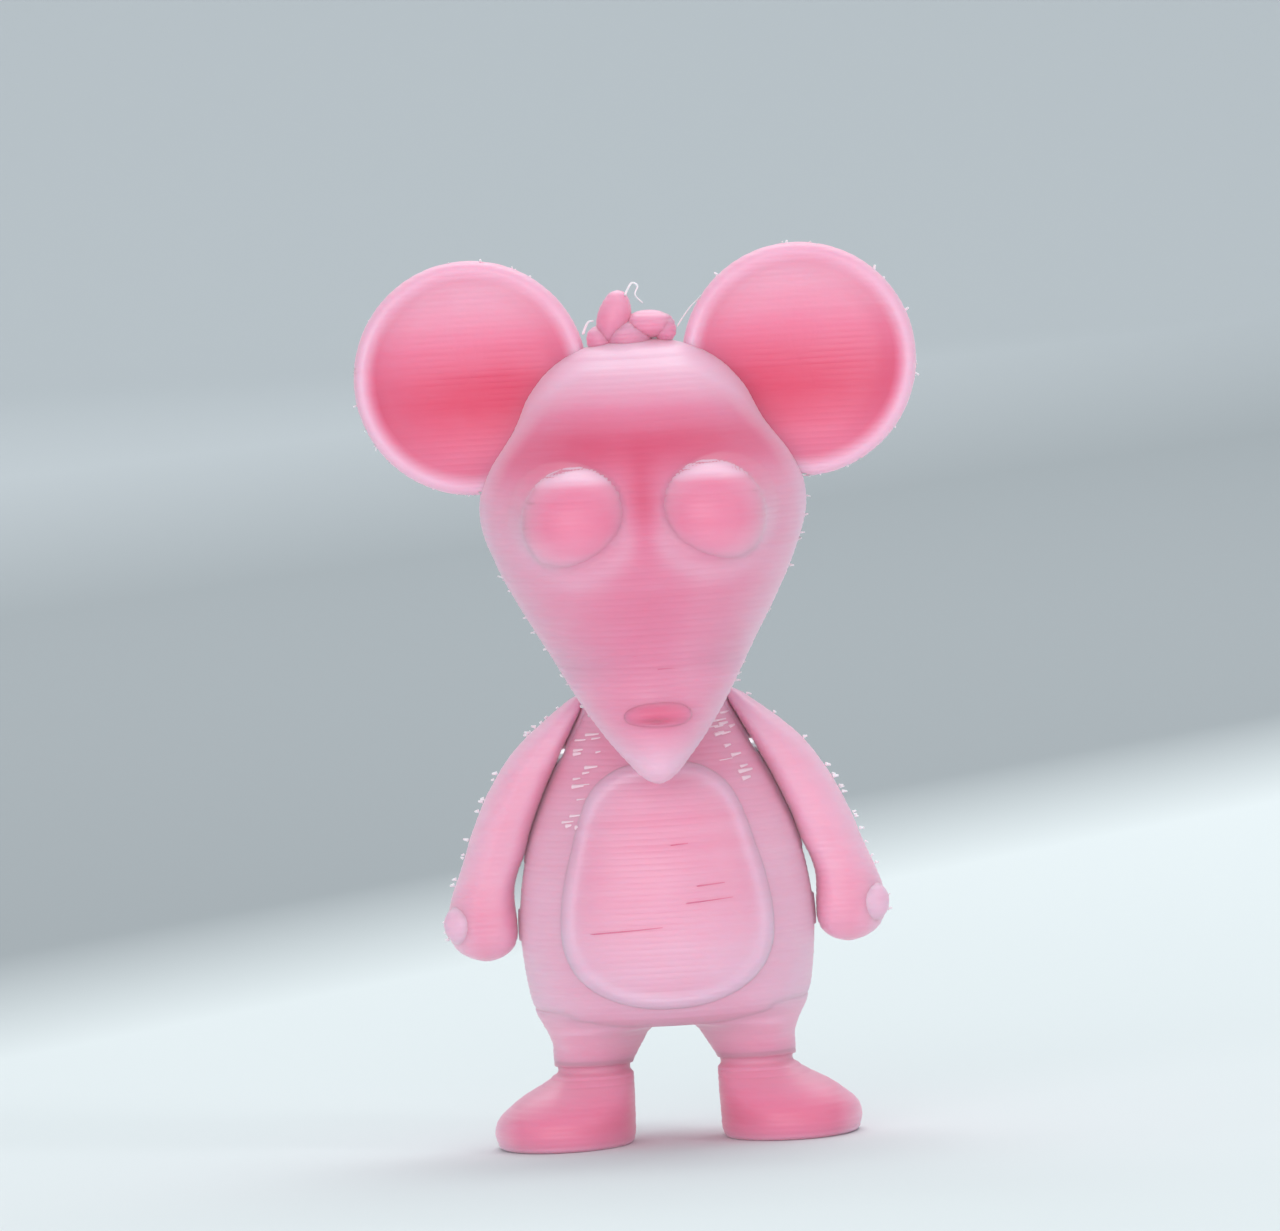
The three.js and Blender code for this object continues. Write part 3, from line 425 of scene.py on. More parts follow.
# the maker of each finish and what it takes after the name
FINISHES = {
    "body plastic": (plastic,),
    "ear plastic": (plastic, 0.55, 0.42, 0.12),
    "belly plastic": (plastic, 0.6, 0.34, 0.2),
    # string plastic is lifted towards white: painted light on the thin strings and flecks.
    "string plastic": (plastic, 0.8, 0.25, 0.05, 0.55),
    # Lifted towards white and opaque: painted highlight for the pale glint streaks on the chest.
    "smear plastic": (plastic, 0.0, 0.3, 0.05, 0.4),
    # gap: painted shade inside the open joins.
    "gap": (gap_shadow,),
    "bright steel": (metal, (0.42, 0.43, 0.45), (0.72, 0.73, 0.75), 0.2, (1.0, 1.0, 14.0)),
    "blued steel": (metal, (0.05, 0.07, 0.16), (0.14, 0.18, 0.34), 0.25, (1.0, 14.0, 1.0)),
    "rolled brass": (metal, (0.50, 0.33, 0.12), (0.83, 0.62, 0.27), 0.22, (1.0, 1.0, 12.0)),
}
MADE = {}


def finish_named(name):
    """Each finish is made once, when the first piece asks for it."""
    if name not in MADE:
        maker, *values = FINISHES[name]
        MADE[name] = maker(name, *values)
    return MADE[name]


def wear(piece, name):
    piece.data.materials.clear()
    piece.data.materials.append(finish_named(name))
    return piece


def skin_piece(name, points, tint, finish, body, slot, *nodes):
    """A closed skin with its finish, body and CAD nodes; slot is not used."""
    return finish_piece(wear(closed_skin(name, points, tint), finish), body, slot, *nodes)


def upright(x, y, z):
    """A grid of points from x and y grids and one height for each row."""
    return np.stack([x, y, np.broadcast_to(z[:, None], x.shape)], axis=-1)


# ---------------------------------------------------------------- torso
TORSO_HALF = node_box("torso_front")[1][0]
TORSO_DEPTH_SHARE = node_box("torso_back")[1][1] / TORSO_HALF
TORSO_TOP = node_box("torso_front")[1][2]
SLEEVE_END = node_box("torso_front")[0][2]
TORSO_HEIGHT = 24.2 * MM
TORSO_BASE = TORSO_TOP - TORSO_HEIGHT
# share of the height against share of the half width
TORSO_KEYS = np.array([
    (0.04, 0.74), (0.06, 0.852), (0.08, 0.905), (0.1, 0.932), (0.15, 0.96), (0.22, 0.982), (0.3, 0.995),
    (0.43, 0.97), (0.56, 0.895), (0.68, 0.78), (0.8, 0.635), (0.91, 0.495), (0.985, 0.41), (1.0, 0.36)])


def torso_half(z):
    """Half width of the torso at a height."""
    return TORSO_HALF * round_spline((z - TORSO_BASE) / TORSO_HEIGHT, TORSO_KEYS[:, 0], TORSO_KEYS[:, 1])


def chest(x, z, proud):
    """Front of the torso at x and z: an ellipse at each height, some way proud of it."""
    half = torso_half(z)
    return -TORSO_DEPTH_SHARE * np.sqrt(np.maximum(half**2 - x**2, 0.0)) - proud


def torso_skin(name, first, last, node):
    """Half of the torso: horizontal half ellipses from the crotch to the neck, closed flat at the top."""
    shape = bpy.context.scene.mouse_shape
    low = TORSO_BASE + TORSO_KEYS[0, 0] * TORSO_HEIGHT
    z = np.append(rows_between(low, TORSO_TOP, shape.layer / 4), TORSO_TOP)
    half = torso_half(z)
    half[-1] = 0.0
    turn = np.linspace(first, last, 130)
    smooth = ellipses(z, half, half * TORSO_DEPTH_SHARE, 0.0, 0.0, turn)
    points = printed(smooth, wrap=False)
    points[..., 1] += shape.seam / 2 * (1 if first < math.pi / 2 else -1)
    x, height = smooth[..., 0], smooth[..., 2] / MM
    # Painted light and shade: paler towards the sides, as painted light at the edges, a little deeper about
    # 26 mm up and paler about 9 mm up.
    tint = 0.27 - 0.3 * np.abs(x / TORSO_HALF) ** 3
    tint += 0.06 * bell(height, 26.0, 3.0) - 0.08 * bell(height, 9.0, 3.0)
    centre = np.array((0.0, 0.0, TORSO_BASE + 0.45 * TORSO_HEIGHT))
    piece = half_shell(name, points, centre, tint, np.ones(len(z), bool))
    wear(piece, "body plastic")
    return finish_piece(piece, "root", "body_pink", node)


# height above the floor, inner x, outer x and half depth of the torso where it parts into two trousers, in
# mm, and the share by which its outline is still the torso's
TROUSER_KEYS = np.array([
    (5.36, 2.85, 8.17, 2.93, 0.0), (5.5, 2.8, 8.17, 2.97, 0.0), (6.2, 2.42, 8.18, 3.3, 0.0),
    (6.9, 2.0, 8.2, 3.95, 0.02), (7.5, 1.6, 8.4, 4.75, 0.1), (7.85, 1.05, 8.55, 5.4, 0.25),
    (8.02, 0.2, 8.65, 5.8, 0.4), (8.3, 0.05, 8.8, 6.5, 0.65), (8.8, 0.05, 9.06, 7.6, 0.95),
    (9.2, 0.05, 9.2, 8.25, 1.0), (9.9, 0.05, 9.1, 8.2, 1.0)]) * (MM, MM, MM, MM, 1.0)
LIP_ROWS = 4
LIP_WALL = 0.06 * MM


def trouser(name, side):
    """The torso drawn down round a leg. An outline runs from half of the torso's ellipse, flat on the side
    of the other leg, to an ellipse round the ankle; a lip turns inside at its end."""
    shape = bpy.context.scene.mouse_shape
    z = np.arange(SLEEVE_END, TROUSER_KEYS[-1, 0], shape.layer / 4)
    inner, outer, depth, part = (v[:, None] for v in spline(z, TROUSER_KEYS[:, 0], TROUSER_KEYS[:, 1:]).T)
    turn = full_turn(140)
    part = np.clip(part, 0, 1)
    across = (1 - part) * (1 + np.cos(turn)) / 2 + part * np.maximum(np.cos(turn), 0.0)
    x = inner + (outer - inner) * across
    smooth = upright(side * x, depth * np.sin(turn), z)
    middle = (inner + outer)[:LIP_ROWS] / 2 * side
    thin = 1 - LIP_WALL / depth[:LIP_ROWS]
    lip = smooth[:LIP_ROWS].copy()
    lip[..., 0] = middle + (lip[..., 0] - middle) * thin
    lip[..., 1] *= thin
    points = np.concatenate([lip[::-1], printed(smooth)])
    tint = 0.1 + 0.24 * np.clip((6.8 - points[..., 2] / MM) / 1.4, 0, 1)
    return skin_piece(name, points, tint, "body plastic", "root", "body_pink")


# ---------------------------------------------------------------- belly
# height above the floor against half width of the patch, in mm
BELLY_KEYS = np.array([
    (9.45, 0.0), (9.75, 2.6), (10.5, 4.6), (11.7, 6.1), (13.4, 6.95), (15.5, 7.1), (18.0, 6.75),
    (20.5, 6.05), (22.8, 5.3), (24.2, 4.5), (25.1, 3.5), (25.65, 2.3), (25.9, 0.0)]) * MM


def belly_edge(count):
    """The outline of the patch as a closed ring of (x, z)."""
    v = np.linspace(0, np.pi, count // 2, endpoint=False)
    low, high = BELLY_KEYS[0, 0], BELLY_KEYS[-1, 0]
    climb = (high - low) * (1 - np.cos(v)) / 2
    z = np.concatenate([low + climb, high - climb])
    half = round_spline(z, BELLY_KEYS[:, 0], BELLY_KEYS[:, 1])
    half[len(v):] *= -1
    return np.stack([half, z], axis=-1)


def belly_patch():
    """A patch that follows the chest, a little proud of it, with a raised bead just inside its edge."""
    edge = belly_edge(300)
    middle = np.array((0.0, 16.0 * MM))
    reach = np.concatenate([np.linspace(0.01, 0.999, 110), [1.004, 1.01, 1.012]])
    flat = middle + reach[:, None, None] * (edge - middle)
    far = np.linalg.norm(edge - middle, axis=-1)
    inward = (1 - reach)[:, None] * far
    proud = 0.12 * MM + 0.14 * MM * bell(inward, 0.5 * MM, 0.36 * MM)
    proud[-3:] = np.array([0.1, -0.1, -0.5])[:, None] * MM
    x, z = flat[..., 0], flat[..., 1]
    points = np.stack([x, chest(x, z, proud), z], axis=-1)
    points[:-2] = printed(points, gain=0.8)[:-2]
    bead = bell(inward, 0.55 * MM, 0.5 * MM)
    # Paler along the bead, a painted highlight on its ridge; a little deeper about 20 mm up and paler about
    # 12.5 mm up.
    tint = 0.2 - 0.16 * bead + 0.06 * bell(z / MM, 20, 4) - 0.14 * bell(z / MM, 12.5, 3.0)
    return skin_piece("belly_patch", points, tint, "belly plastic", "root", "pale_pink", "belly_panel")


# ---------------------------------------------------------------- head
HEAD_LOW, HEAD_HIGH = node_box("head_front")[0][2], node_box("head_front")[1][2]
HEAD_HEIGHT = HEAD_HIGH - HEAD_LOW
HEAD_HALF = node_box("head_front")[1][0] * 1.008
HEAD_REACH = -node_box("head_front")[0][1]
HEAD_SPLIT = (node_box("head_front")[1][1] + node_box("head_back")[0][1]) / 2
# share of the height against shares of the half width and of the reach to the front
FACE_KEYS = np.array([
    (0.0, 0.0, -0.86), (0.006, 0.055, -0.9), (0.018, 0.1, -0.935), (0.05, 0.178, -0.968),
    (0.115, 0.315, -1.0), (0.19, 0.445, -0.99), (0.235, 0.515, -0.968), (0.31, 0.635, -0.905),
    (0.4, 0.775, -0.82), (0.5, 0.905, -0.725), (0.6, 0.985, -0.64), (0.65, 0.98, -0.603),
    (0.7, 0.93, -0.565), (0.8, 0.755, -0.48), (0.885, 0.64, -0.375), (0.95, 0.475, -0.24),
    (0.985, 0.29, -0.11), (1.0, 0.0, 0.04)])
# share of the height against the back of the head, in mm from the neck axis
NAPE_KEYS = np.array([
    (0.0, -12.9), (0.006, -12.4), (0.018, -11.7), (0.05, -10.4), (0.115, -7.9), (0.19, -5.6), (0.235, -4.2),
    (0.255, -1.2), (0.275, 1.9), (0.32, 4.8), (0.4, 7.3), (0.5, 8.95), (0.6, 9.6), (0.7, 9.6), (0.8, 8.93),
    (0.885, 7.6), (0.95, 5.4), (0.985, 3.2), (1.0, 0.65)])


def head_levels(z):
    """Half width, middle and half depth of the head at each height."""
    share = (z - HEAD_LOW) / HEAD_HEIGHT
    half = HEAD_HALF * round_spline(share, FACE_KEYS[:, 0], FACE_KEYS[:, 1])
    front = HEAD_REACH * spline(share, FACE_KEYS[:, 0], FACE_KEYS[:, 2])
    back = np.interp(share, NAPE_KEYS[:, 0], NAPE_KEYS[:, 1]) * MM
    return half, (front + back) / 2, (back - front) / 2


def face(x, z):
    """Front of the head at x and z."""
    half, middle, depth = head_levels(np.asarray(z, float))
    across = np.clip(x / np.maximum(half, 1e-6), -1, 1)
    return middle - depth * np.sqrt(1 - across**2)


def eye_ball(name):
    """Middle and radius of an eye."""
    low, high = node_box(f"{name}_eye")
    radius = (high[0] - low[0]) / 2 * 1.09
    centre = np.array(((low[0] + high[0]) / 2 * 0.95, low[1] + radius, high[2] - radius * 0.98))
    return centre, radius


def eyelids(points):
    """Draws the face forward round each eye, so that the ball grows out of it: the soft lower one of the
    two surfaces, min(a, b) - h^2 k / 4 with h = max(k - |a - b|, 0) / k, sharp above and wide below."""
    points = points.copy()
    for name, _ in SIDES:
        centre, radius = eye_ball(name)
        aside, above = points[..., 0] - centre[0], points[..., 2] - centre[2]
        inside = radius**2 - aside**2 - above**2
        ball_front = centre[1] - np.sqrt(np.maximum(inside, 0)) * 0.97
        ball_front += np.maximum(-inside, 0) / radius * 1.2
        soft = (0.12 + 0.6 * np.clip(0.45 - above / radius, 0, 1)) * MM
        blend = np.maximum(soft - np.abs(points[..., 1] - ball_front), 0) / soft
        lower = np.minimum(points[..., 1], ball_front) - blend**2 * soft / 4
        near = (points[..., 1] < centre[1] + radius) & (inside > -(0.9 * radius) ** 2)
        points[..., 1] = np.where(near, lower, points[..., 1])
    return points


def head_tint(points):
    """Painted light and shade on the head: deeper over the brow, between the eyes, down the snout and on the
    nose, as painted shade; paler at the sides, on the crown, on the chin and in a ring below each eye, as
    painted light.
    """
    x, y, z = np.moveaxis(points / MM, -1, 0)
    eye_z = (HEAD_LOW / MM) + 17.4
    facing = np.clip(-y / 4.0, 0, 1)
    tint = 0.37 + 0.45 * bell(z, eye_z + 4.9, 2.1) * facing
    tint += 0.4 * bell(x, 0, 1.1) * bell(z, eye_z + 1.0, 2.6) * facing
    tint += 0.16 * bell(x, 0, 4.0) * bell(z, 36.0, 4.5) * facing
    tint += 0.34 * bell(x, 0.2, 1.7) * bell(z, 29.4, 0.9) * facing
    tint -= 0.45 * bell(z, 25.2, 2.2)
    tint -= 0.3 * np.clip((z - 49.5) / 3.0, 0, 1)
    edge = np.abs(x) / np.maximum(np.abs(x).max(axis=1, keepdims=True), 1e-9)
    tint -= 0.3 * np.clip(1 - facing, 0, 1) + 0.3 * edge**4
    for name, _ in SIDES:
        centre, radius = eye_ball(name)
        far = np.hypot(x - centre[0] / MM, z - centre[2] / MM) / (radius / MM)
        tint -= 0.16 * bell(far, 1.0, 0.22) * facing * np.clip((centre[2] / MM + 1.5 - z) / 3, 0, 1)
    return tint


def head_skin(name, front):
    """One half of the teardrop head. At each height the ellipse is cut where it meets the seam plane."""
    shape = bpy.context.scene.mouse_shape
    z = rows_between(HEAD_LOW, HEAD_HIGH, shape.layer / 4)
    half, middle, depth = head_levels(z)
    lift = (HEAD_SPLIT - middle) / np.maximum(depth, 1e-9)
    crosses = lift < 0.999
    angle = np.arcsin(np.clip(lift, -1, 1))
    if not front:
        z, half, middle, depth, angle, crosses = (
            v[crosses] for v in (z, half, middle, depth, angle, crosses))
    share = np.linspace(0, 1, 130)
    if front:
        turn = (np.pi - angle)[:, None] + share * (np.pi + 2 * angle)[:, None]
    else:
        turn = angle[:, None] + share * (np.pi - 2 * angle)[:, None]
    smooth = ellipses(z, half, depth, 0.0, middle, turn)
    points = printed(eyelids(smooth) if front else smooth, wrap=False)
    points[..., 1] += shape.seam / 2 * (-1 if front else 1) * crosses[:, None]
    centre = np.array((0.0, -1.2 * MM, HEAD_LOW + 0.6 * HEAD_HEIGHT))
    piece = half_shell(name, points, centre, head_tint(smooth), crosses)
    wear(piece, "body plastic")
    return finish_piece(piece, "head", "body_pink", "head_front" if front else "head_back")


def eye(name):
    """A plain bulging eye: a ball set in the face, its top paler where light passes through."""
    (x, y, z), radius = eye_ball(name)
    v = np.linspace(0.01, np.pi - 0.01, 110)
    smooth = ellipses(z - radius * np.cos(v), radius * np.sin(v), radius * np.sin(v), x, y, full_turn(150))
    points = printed(smooth, gain=0.8)
    rise = (smooth[..., 2] - z) / radius
    # Painted light: the top of the ball is paler, as are its lower part and its rim.
    tint = 0.47 - 0.46 * np.clip((rise - 0.62) / 0.2, 0, 1) - 0.2 * np.clip((-0.1 - rise) / 0.7, 0, 1)
    outward = np.hypot(smooth[..., 0] - x, smooth[..., 2] - z) / radius
    tint -= 0.16 * np.clip((outward - 0.55) / 0.4, 0, 1)
    return skin_piece(f"{name}_eye_bulge", points, tint, "body plastic", "head", "pale_pink", f"{name}_eye")


def nose():
    """A soft oval nose on the tip of the snout, with a shallow dent under it for the mouth."""
    low, high = node_box("nose")
    centre = np.array((0.15 * MM, low[1] + 1.72 * MM, (low[2] + high[2]) / 2))
    smooth = ball(centre, (2.3 * MM, 1.2 * MM, 1.05 * MM), 60, 90)
    rise = (smooth[..., 2] - centre[2]) / MM
    smooth[..., 1] += 0.35 * MM * bell(rise, -0.35, 0.22) * bell(smooth[..., 0] / MM, 0.2, 1.3)
    aside = np.clip(np.abs(smooth[..., 0] / MM) / 2.2, 0, 1)
    core = np.clip((-smooth[..., 1] + centre[1]) / (1.2 * MM), 0, 1)
    # Painted shade: deeper towards the front of the nose and in the dent under it.
    tint = 0.55 + 0.16 * core**3 + 0.08 * bell(rise, -0.3, 0.3) * (1 - aside)
    points = printed(smooth, gain=0.5)
    return skin_piece("nose_tip", points, tint, "body plastic", "head", "deep_pink", "nose")


def ear(name, side):
    """A round dish on the side of the head: rings about its middle, from the dish over the rolled rim to
    the back. Each ring is a circle facing forwards, radius and depth taken from a profile."""
    low, high = node_box(f"{name}_ear")
    radius = (high[2] - low[2]) / 2
    outermost = high[0] if side > 0 else low[0]
    centre = np.array((outermost - side * radius, (low[1] + high[1]) / 2, high[2] - radius))
    thick = (high[1] - low[1]) / 2
    # share of the radius against share of half the thickness, from the middle of the dish round to the back
    profile = np.array([
        (0.004, 0.42), (0.3, 0.34), (0.5, 0.2), (0.68, -0.08), (0.79, -0.45), (0.855, -0.8),
        (0.9, -0.96), (0.935, -0.98), (0.968, -0.86), (0.99, -0.6), (1.0, -0.25), (0.99, 0.1),
        (0.955, 0.42), (0.88, 0.68), (0.7, 0.9), (0.4, 0.98), (0.004, 1.0)])
    knots = np.arange(len(profile))
    reach, depth = spline(np.linspace(0, knots[-1], 190), knots, profile).T
    turn = full_turn(300)
    x = centre[0] + radius * reach[:, None] * np.cos(turn)
    z = centre[2] + radius * reach[:, None] * np.sin(turn)
    smooth = np.stack([x, np.broadcast_to(centre[1] + thick * depth[:, None], x.shape), z], axis=-1)
    # Painted light and shade: the dish is painted deep low down towards the head and paler towards its top,
    # and the rim is painted pale, palest in its lower half, as rim light.
    inside = np.clip((0.93 - reach) / 0.12, 0, 1) * (depth < 0.5)
    toward_head = -side * (smooth[..., 0] - centre[0]) / radius
    rise = (smooth[..., 2] - centre[2]) / radius
    lit = 0.42 + 0.52 * bell(rise, -0.2, 0.42) * bell(toward_head, 0.1, 1.2)
    lit -= 0.3 * np.clip((rise - 0.25) / 0.5, 0, 1)
    rim = 0.15 * np.clip(rise, 0, 1)
    tint = rim * (1 - inside[:, None]) + lit * inside[:, None]
    points = printed(smooth, gain=0.9)
    return skin_piece(f"{name}_ear_dish", points, tint, "ear plastic", "head", "deep_pink", f"{name}_ear")


def strand(name, path, radius, body, slot="pale_pink", end=0.0, finish="string plastic"):
    """A drawn-out thread of plastic, a raised thread of painted shade for an open join, or a pale streak of
    painted highlight: rings round a smooth path through a few points, thinning towards its far end, with a
    small ball of radius end there. All sizes are in mm."""
    path = np.asarray(path, float) * MM
    count = 10 * len(path)
    at = np.linspace(0, len(path) - 1, count)
    line = spline(at, np.arange(len(path)), path)
    along = np.gradient(line, axis=0)
    along /= np.linalg.norm(along, axis=-1, keepdims=True)
    side = np.cross(along, (0.3, 1.0, 0.2))
    side /= np.linalg.norm(side, axis=-1, keepdims=True)
    up = np.cross(along, side)
    share = at / at[-1]
    size = radius * MM * np.sqrt(np.clip(np.minimum(share / 0.06, 1), 0.05, 1)) * (1 - 0.55 * share)
    size += end * MM * bell(share, 0.93, 0.07)
    size[-1] *= 0.3
    turn = full_turn(10)
    ring = np.cos(turn)[None, :, None] * side[:, None] + np.sin(turn)[None, :, None] * up[:, None]
    return skin_piece(name, line[:, None] + size[:, None, None] * ring, 0.12, finish, body, slot)


def hair_tuft():
    """Five small lumps that stand up on the crown."""
    low, high = node_box("hair_tuft")
    x, y, z = low[0] / MM, (low[1] + high[1]) / 2 / MM, high[2] / MM
    lumps = [
        ((x + 1.2, y, z - 1.9), (1.15, 1.3, 1.95)), ((x + 3.6, y + 0.1, z - 2.35), (1.7, 1.5, 0.95)),
        ((x + 2.1, y, z - 3.2), (1.6, 1.5, 1.3)), ((x + 4.5, y, z - 2.6), (0.85, 1.1, 1.0)),
        ((x + 0.2, y, z - 3.3), (0.9, 1.1, 1.0))]
    for number, (centre, radii) in enumerate(lumps, 1):
        centre, radii = np.array(centre) * MM, np.array(radii) * MM
        smooth = ball(centre, radii, 44, 64)
        lean = (smooth[..., 2] - centre[2]) / radii[2]
        smooth[..., 0] += 0.35 * MM * lean * (1 if number == 1 else -0.4)
        # Painted light: each lump is paler towards its top.
        tint = 0.42 - 0.22 * np.clip(lean, 0, 1)
        nodes = ["hair_tuft"] if number == 1 else []
        points = printed(smooth, gain=1.6)
        skin_piece(f"hair_lump_{number}", points, tint, "body plastic", "head", "pale_pink", *nodes)


# ---------------------------------------------------------------- limbs
# share of the arm's length downwards against inner x and outer x beyond the torso, and half depth, as
# shares of the arm's width and of half its depth
ARM_KEYS = np.array([
    (0.0, 0.02, 0.1, 0.1), (0.015, 0.0, 0.2, 0.27), (0.04, 0.0, 0.31, 0.45), (0.1, 0.0, 0.5, 0.7),
    (0.2, 0.0, 0.72, 0.9), (0.33, 0.0, 0.82, 1.0), (0.5, 0.0, 0.86, 0.98), (0.6, 0.0, 0.88, 0.92),
    (0.66, 0.05, 0.91, 0.9), (0.74, 0.07, 0.98, 0.93), (0.8, 0.04, 1.02, 0.96), (0.86, 0.01, 1.04, 0.98),
    (0.92, 0.03, 0.98, 0.88), (0.96, 0.12, 0.88, 0.68), (0.985, 0.27, 0.72, 0.45), (1.0, 0.45, 0.55, 0.08)])
ARM_WIDTH = 4.6 * MM
ARM_TOP, ARM_LENGTH = 30.3, 17.6  # in mm


def armpit_rib(name, side):
    """A low rib on the torso that all but closes the gap behind an arm: one above the slit, one below."""
    shape = bpy.context.scene.mouse_shape
    for part, low, high in (("rib", 18.9, 30.4), ("pad", 13.9, 16.2)):
        z = rows_between(low * MM, high * MM, shape.layer / 3)
        share = (z - z[0]) / (z[-1] - z[0])
        full = np.sqrt(np.clip(1 - (2 * share - 1) ** 30, 0, 1)) + 0.02
        middle = side * (torso_half(z) - 0.75 * MM)
        points = ellipses(z, 0.87 * MM * full, 1.7 * MM * full, middle, 0.0, full_turn(60))
        # Painted light: the ribs are painted palest against the shade of the gap behind the arm.
        skin_piece(f"{name}_armpit_{part}", points, 0.0, "body plastic", "root", "body_pink")


def arm(name, side):
    """An arm that hangs along the body and widens into a mitten: ellipses between an inner edge that
    keeps clear of the torso and an outer one. A round thumb end sits outside it."""
    shape = bpy.context.scene.mouse_shape
    low, high = node_box(f"{name}_arm")
    length, depth = high[2] - low[2], high[1]
    z = rows_between(low[2], high[2], shape.layer / 4)
    inner, outer, half = spline((high[2] - z) / length, ARM_KEYS[:, 0], ARM_KEYS[:, 1:]).T
    middle = torso_half(z) + 0.15 * MM + ARM_WIDTH * (inner + outer) / 2
    reach = ARM_WIDTH * np.maximum(outer - inner, 0.01) / 2
    turn = full_turn(120)
    across = np.where(np.cos(turn) < 0, squared(np.cos(turn), 0.45), np.cos(turn))
    x = middle[:, None] + reach[:, None] * across
    smooth = upright(side * x, np.maximum(half, 0.02)[:, None] * depth * np.sin(turn), z)
    height = smooth[..., 2] / MM
    outside = np.clip((np.abs(smooth[..., 0]) - middle[:, None]) / reach[:, None], 0, 1)
    # Painted light and shade: paler at the shoulder, on the inner side where the gap to the torso is in
    # shade, and at the outer edge; deeper about 15.8 mm up.
    tint = 0.16 - 0.14 * bell(height, 29.0, 2.2) + 0.14 * bell(height, 15.8, 2.2)
    tint -= 0.14 * np.clip(-across, 0, 1) + 0.24 * outside**2
    body = f"{name}_arm"
    skin_piece(f"{name}_arm_skin", printed(smooth), tint, "body plastic", body, "body_pink", body)
    radius = 1.42 * MM
    outermost = high[0] if side > 0 else low[0]
    centre = np.array((outermost - side * radius * 1.02, -1.1 * MM, low[2] + 2.65 * MM))
    thumb = printed(ball(centre, (radius, radius, radius), 40, 60))
    # The thumb is painted paler than the arm: painted light on the outer edge of the hand.
    return skin_piece(f"{name}_thumb", thumb, -0.1, "body plastic", body, "body_pink")


# height above the floor, inner x, outer x, toe y and heel y of a foot, in mm
FOOT_KEYS = np.array([
    (0.0, 3.25, 11.85, -6.65, 3.65), (0.12, 3.1, 12.1, -6.85, 3.8), (0.5, 2.95, 12.3, -7.0, 3.93),
    (1.5, 2.88, 12.38, -7.03, 3.95), (2.2, 2.86, 12.0, -6.75, 3.88), (2.8, 2.85, 11.3, -6.15, 3.7),
    (3.5, 2.84, 10.3, -5.1, 3.4), (4.1, 2.85, 9.15, -3.95, 3.15), (4.5, 2.85, 8.5, -3.3, 2.95),
    (4.7, 2.88, 8.26, -3.05, 2.9), (4.77, 2.94, 8.12, -2.88, 2.82), (4.83, 2.99, 8.05, -2.8, 2.78),
    (6.0, 2.99, 8.05, -2.8, 2.78), (6.35, 3.35, 7.65, -2.2, 2.15), (6.8, 3.5, 7.5, -2.0, 1.95),
    (8.2, 3.5, 7.5, -2.0, 1.95)]) * MM


def foot(name, side):
    """A flat foot with a rounded upper side, splayed a little outwards, and its round ankle, which slides
    in the trouser. Each row of the foot is |x/a|^2.5 + |y/b|^2.5 = 1, and the ankle is an ellipse."""
    shape = bpy.context.scene.mouse_shape
    z = np.unique(np.concatenate([rows_between(0.0, FOOT_KEYS[-1, 0], shape.layer / 4), FOOT_KEYS[:, 0]]))
    inner, outer, toe, heel = spline(z, FOOT_KEYS[:, 0], FOOT_KEYS[:, 1:]).T
    turn = full_turn(150)
    power = 0.8 + 0.2 * np.clip((z[:, None] / MM - 4.1) / 0.7, 0, 1)
    x = (inner + outer)[:, None] / 2 + (outer - inner)[:, None] / 2 * squared(np.cos(turn), power)
    y = (toe + heel)[:, None] / 2 + (heel - toe)[:, None] / 2 * squared(np.sin(turn), power)
    narrow = np.clip(-y / (7.0 * MM), 0, 1) ** 2 * np.clip(1 - z / (4.5 * MM), 0, 1)[:, None]
    x -= (x - 8.0 * MM) * 0.3 * narrow
    smooth = upright(side * x, y, z)
    points = printed(smooth)
    points[..., 2] = np.maximum(points[..., 2], 0.0)
    height = smooth[..., 2] / MM
    # Deeper about 1.6 mm up and paler at the very bottom; paler at the outer edge, as painted light.
    tint = 0.34 + 0.22 * bell(height, 1.6, 1.5) - 0.2 * bell(height, 0.0, 0.25)
    tint -= 0.3 * np.clip((np.abs(smooth[..., 0]) / MM - 10.6) / 1.6, 0, 1)
    body = f"{name}_leg"
    return skin_piece(f"{name}_foot", points, tint, "body plastic", body, "deep_pink", body)


def blocks(name, corners, side, finish):
    """Plain blocks between pairs of corners in mm, mirrored to a side and joined in one piece."""
    points, faces = [], []
    for low, high in corners:
        base = len(points)
        for corner in range(8):
            point = [(high if corner >> axis & 1 else low)[axis] * MM for axis in range(3)]
            points.append((side * point[0], point[1], point[2]))
        faces += [[base + i for i in face] for face in
                  ((0, 1, 3, 2), (4, 6, 7, 5), (0, 4, 5, 1), (2, 3, 7, 6), (0, 2, 6, 4), (1, 5, 7, 3))]
    return wear(mesh_object(name, points, faces, np.full(len(points), 0.5), smooth=False), finish)


def turned(name, stations, finish):
    """A round bar along Y: rings at stations of (x, z, y, radius), all in metres, closed at both ends."""
    x, z, y, radius = np.asarray(stations, float).T
    turn = full_turn(48)
    across = x[:, None] + radius[:, None] * np.cos(turn)
    rise = z[:, None] + radius[:, None] * np.sin(turn)
    points = np.stack([across, np.broadcast_to(y[:, None], across.shape), rise], axis=-1)
    return wear(closed_skin(name, points, 0.5), finish)


